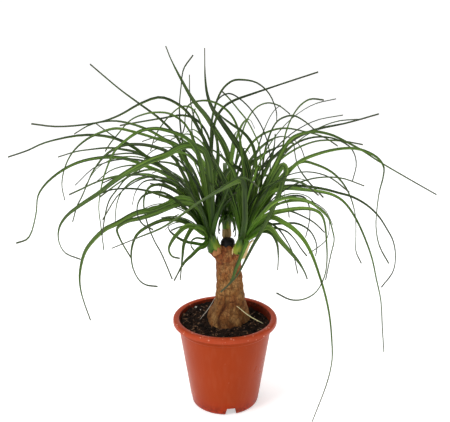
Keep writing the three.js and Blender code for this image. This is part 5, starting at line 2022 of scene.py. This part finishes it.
@dataclass
class Foliage:
    """The three leaf heads, each one piece."""

    effects: Effects
    walk_factor: int = 4
    seed: int = 23
    twist: float = 0.3
    twist_waves: float = 5.0
    twist_onset: tuple[float, float] = (0.05, 0.3)
    tone_spread: tuple[float, float] = (0.2, 1.0)
    front_twist: float = 0.15
    front_tones: tuple[float, float] = (0.38, 0.68)
    front_facing: float = 1.5
    front_taper_power: float = 2.6
    broad_width: float = 7.0
    outer_share: float = 0.2
    outer_width: float = 2.6
    right_outer_width: float = 1.7
    slimming: tuple[float, float] = (0.15, 0.5)
    roll_over: tuple[float, float] = (0.25, 0.6)
    thread: float = 1.25
    base_flare: float = 0.45
    base_flare_length: float = 16.0
    core_reach: float = 22.0
    clasp_count: int = 13
    clasp_length: float = 18.0
    clasp_width: float = 7.5
    clasp_sink: float = 0.5
    clasp_hug: float = 0.2
    clasp_foot_outs: tuple[float, float] = (0.2, 0.9)
    clasp_top_outs: tuple[float, float] = (1.2, 3.2)
    # Painted shade: the dark tones of the clasping feet away from a crown's lit side.
    shaded_clasp_tones: tuple[float, float] = (0.0, 0.5)
    clasp_climb: float = 0.55
    clasp_narrowing: float = 0.4
    # Painted light: how far round the lit side reaches, and the bright tone of the feet there.
    lit_cosine: float = 0.6
    lit_tone: float = 0.95
    clasp_spread: float = 1.7
    back_clasp_spread: float = 3.0
    channel: float = 0.2

    def clasp(self, head: Head, turn: int, draw: Draw) -> Strap:
        """Lays the clasping foot of one leaf, wrapped round the crown's core.

        Args:
            head: The leaf's head.
            turn: The foot's number, from the lowest.
            draw: The row of draws.

        Returns:
            The foot's strap.
        """
        crown = CROWNS[head]
        share = turn / self.clasp_count
        start = share * crown.core_length * self.clasp_climb - self.clasp_sink
        spread = self.back_clasp_spread if head is BACK else self.clasp_spread
        foot = Flake(
            head=head,
            heading=360 * turn * GOLDEN_SHARE,
            heights=(start, start + self.clasp_length),
            outs=(draw.between(*self.clasp_foot_outs), draw.between(*self.clasp_top_outs) * spread),
            width=self.clasp_width * (1 - self.clasp_narrowing * share),
            hug=self.clasp_hug,
        )
        # Feet on the lit side are painted lit, with a bright tone and the pale sheath colour; the rest
        # take dark tones as painted shade.
        is_lit = math.cos(math.radians(foot.heading - crown.lit_side)) > self.lit_cosine
        return foot.strap(self.lit_tone if is_lit else draw.between(*self.shaded_clasp_tones))

    def strap_of(self, laid: Laid, draw: Draw) -> Strap:
        """Lays the fine strap of a leaf.

        Args:
            laid: The leaf.
            draw: The row of draws.

        Returns:
            The strap.
        """
        leaf = laid.leaf
        steps = (len(laid.points) - 1) * self.walk_factor
        points = smooth_curve(laid.keys, steps)
        lengths = travelled(points)
        shares = lengths / lengths[-1]
        tangents = np.gradient(points, axis=0)
        tangents /= np.linalg.norm(tangents, axis=1)[:, None]
        inward = CROWNS[leaf.head].middle - laid.points[2]
        inward[2] = 0
        normal = unit(inward)
        viewer = np.array((0, -1, 0))
        turn = draw.between(0, 2 * math.pi)
        in_front = leaf.facing > self.front_facing
        twist = self.front_twist if in_front else self.twist
        taper_power = self.front_taper_power if in_front else LEAF_TAPER_POWER
        added_width = self.right_outer_width if leaf.head is RIGHT else self.outer_width
        keeps_width = in_front or leaf.width >= self.broad_width
        slim = 1 if keeps_width else min(self.outer_share + added_width / leaf.width, 1)
        far_facing = leaf.facing if leaf.far_facing is None else leaf.far_facing
        faces = []
        widths = []
        for tangent, share, length in zip(tangents, shares, lengths):
            normal = unit(normal - tangent * (normal @ tangent))
            shown = viewer - tangent * (viewer @ tangent)
            facing = lerp(leaf.facing, far_facing, smoothstep(share, *self.roll_over))
            face = normal + shown * facing
            face = unit(face - tangent * (face @ tangent))
            onset = smoothstep(share, *self.twist_onset)
            angle = twist * math.sin(turn + share * self.twist_waves) * onset
            faces.append(face * math.cos(angle) + np.cross(tangent, face) * math.sin(angle))
            flare = 1 + self.base_flare * smoothstep(length, self.base_flare_length, 0)
            outer = lerp(1, slim, smoothstep(share, *self.slimming))
            widths.append(max(width_at(leaf, share, taper_power) * flare * outer, self.thread))
        if in_front:
            tone = draw.between(*self.front_tones)
        else:
            tone = smoothstep(draw.between(0, 1), *self.tone_spread)
        return Strap(points, np.array(widths), np.array(faces), tone, channel=self.channel)

    def build_heads(self) -> None:
        """Builds and dresses the three leaf heads."""
        draw = Draw(self.seed)
        placed = place_leaves()
        log.info("%d leaves laid", len(placed))
        skin = LeafSkin(self.effects).material()
        for head, crown in CROWNS.items():
            bm = new_strap_mesh()
            for laid in placed:
                if laid.leaf.head == head:
                    self.strap_of(laid, draw).add_to(bm)
            for turn in range(self.clasp_count):
                self.clasp(head, turn, draw).add_to(bm)
            start = Vector(crown.middle + crown.grows * GAP)
            end = Vector(crown.middle + crown.grows * crown.core_length)
            core = add_limb(bm, start, end, crown.core_radius(0), crown.core_radius(crown.core_length))
            for vert in core:
                vert[bm.verts.layers.float["reach"]] = self.core_reach
            foliage = to_mesh(f"foliage_{head.value}", bm)
            shade_smooth(foliage, sharp_degrees=50)
            publish(foliage, skin, [f"leaves_{head.value}"])


@dataclass
class FallenLeaf:
    """A dry leaf that leans from the soil against the foot of the trunk."""

    effects: Effects
    name: str
    solid: str
    top_height: float
    top_angle: float
    foot: tuple[float, float]
    light: Colour
    dark: Colour
    width: float = 2.2
    lift: float = 1.0
    sag: float = 2.0
    steps: int = 24
    end_inset: float = 0.06
    tone: float = 0.5
    channel: float = 0.22
    thickness: float = 0.4

    def build(self) -> None:
        """Builds and dresses the leaf."""
        upper = np.array(trunk_place(self.top_height, self.top_angle, self.lift))
        lower = np.array((*self.foot, soil_height(*self.foot) + self.lift))
        middle = (upper + lower) / 2 - (0, 0, self.sag)
        points = smooth_curve(np.array((upper, middle, lower)), self.steps)
        tangents = np.gradient(points, axis=0)
        shares = np.linspace(0, 1, self.steps + 1)
        up = (0.0, 0.0, 1.0)
        faces = np.array([unit(np.cross(tangent, np.cross(up, tangent))) for tangent in tangents])
        inset_shares = lerp(self.end_inset, 1 - self.end_inset, shares)
        widths = self.width * np.sqrt(np.sin(math.pi * inset_shares))
        bm = new_strap_mesh()
        Strap(points, widths, faces, self.tone, self.channel, thickness=self.thickness).add_to(bm)
        leaf = to_mesh(self.name, bm)
        shade_smooth(leaf, sharp_degrees=50)
        finish = DryLeaf(self.effects, self.name, self.light, self.dark)
        publish(leaf, finish.material(), [self.solid])


# Studio

WHITE = (1.0, 1.0, 1.0, 1.0)


@dataclass
class Studio:
    """A pale round cove, soft lights and the camera at the photograph's angle, all in metres."""

    floor_radius: float = 2.6
    cove_radius: float = 1.6
    sides: int = 96
    cove_step: int = 6
    paper: Colour = (0.86, 0.86, 0.86, 1.0)
    glow: float = 0.5
    surround: float = 0.35
    aim: tuple[float, float, float] = (0.0, 0.0, 0.2)

    def build_cove(self) -> None:
        """Builds the floor, which curves up into a wall all round."""
        outline = [(0.0, 0.0), (self.floor_radius, 0.0)]
        for degrees in range(self.cove_step, 91, self.cove_step):
            turn = math.radians(degrees)
            radius = self.floor_radius + self.cove_radius * math.sin(turn)
            outline.append((radius, self.cove_radius * (1 - math.cos(turn))))
        cove = to_mesh("cove", lathe(outline, self.sides))
        shade_smooth(cove)
        material, bench, shader = new_material("cove_paper")
        bench.feed(shader, {
            "Base Color": self.paper,
            "Roughness": 0.9,
            "Emission Color": WHITE,
            "Emission Strength": self.glow,
        })
        cove.data.materials.append(material)

    def add_light(self, name: str, place: tuple[float, float, float], size: float, power: float) -> None:
        """Adds a square soft light that looks at the middle of the plant.

        Args:
            name: The light's name.
            place: Where it hangs.
            size: The length of its side.
            power: Its power in watts.
        """
        light = bpy.data.lights.new(name, "AREA")
        light.shape = "SQUARE"
        light.size = size
        light.energy = power
        lamp = bpy.data.objects.new(name, light)
        lamp.location = place
        lamp.rotation_euler = (Vector(self.aim) - Vector(place)).to_track_quat("-Z", "Y").to_euler()
        bpy.context.scene.collection.objects.link(lamp)

    def build_lights(self) -> None:
        """Adds the lights and the pale surroundings."""
        self.add_light("key", (-1.2, -1.0, 1.6), size=0.7, power=22)
        self.add_light("fill", (1.3, -1.0, 0.9), size=1.4, power=2.5)
        self.add_light("top", (-0.2, 0.4, 2.0), size=1.2, power=16)
        world = bpy.data.worlds.new("studio")
        world.use_nodes = True
        surround = world.node_tree.nodes["Background"]
        Bench(world.node_tree).feed(surround, {"Color": WHITE, "Strength": self.surround})
        bpy.context.scene.world = world

    @staticmethod
    def build_camera() -> None:
        """Adds the camera that sees the plant as the photograph does."""
        camera = bpy.data.cameras.new("camera")
        camera.lens = LENS
        camera.clip_start = 0.01
        camera.clip_end = 50
        holder = bpy.data.objects.new("camera", camera)
        holder.location = Vector(EYE) * MM
        holder.rotation_euler = (math.radians(90 - EYE_TILT), 0, 0)
        bpy.context.scene.collection.objects.link(holder)
        bpy.context.scene.camera = holder

    def build(self) -> None:
        """Builds the whole studio."""
        self.build_camera()
        self.build_cove()
        self.build_lights()
        bpy.context.scene.view_settings.view_transform = "Standard"


def main() -> None:
    """Builds the studio and the plant, piece by piece."""
    logging.basicConfig(level=logging.INFO, format="%(name)s: %(message)s")
    Studio().build()
    effects = Effects()
    pot = NurseryPot(effects)
    pot.build()
    trunk = Trunk(effects)
    trunk.build_wood()
    trunk.build_wax()
    soil = Soil(effects, pot, trunk)
    soil.build_bed()
    soil.build_grains()
    Foliage(effects).build_heads()
    PaperySheaths(effects).build()
    straw = FallenLeaf(
        effects,
        name="straw_leaf",
        solid="fallen_leaf_right",
        top_height=121,
        top_angle=-1.15,
        foot=(44, -2),
        light=srgb(255, 250, 200),
        dark=srgb(246, 226, 140),
    )
    straw.build()
    grey = FallenLeaf(
        effects,
        name="grey_leaf",
        solid="fallen_leaf_left",
        top_height=127,
        top_angle=-2.8,
        foot=(-29, 5),
        light=srgb(190, 182, 168),
        dark=srgb(120, 108, 92),
    )
    grey.build()


if __name__ == "__main__":
    main()
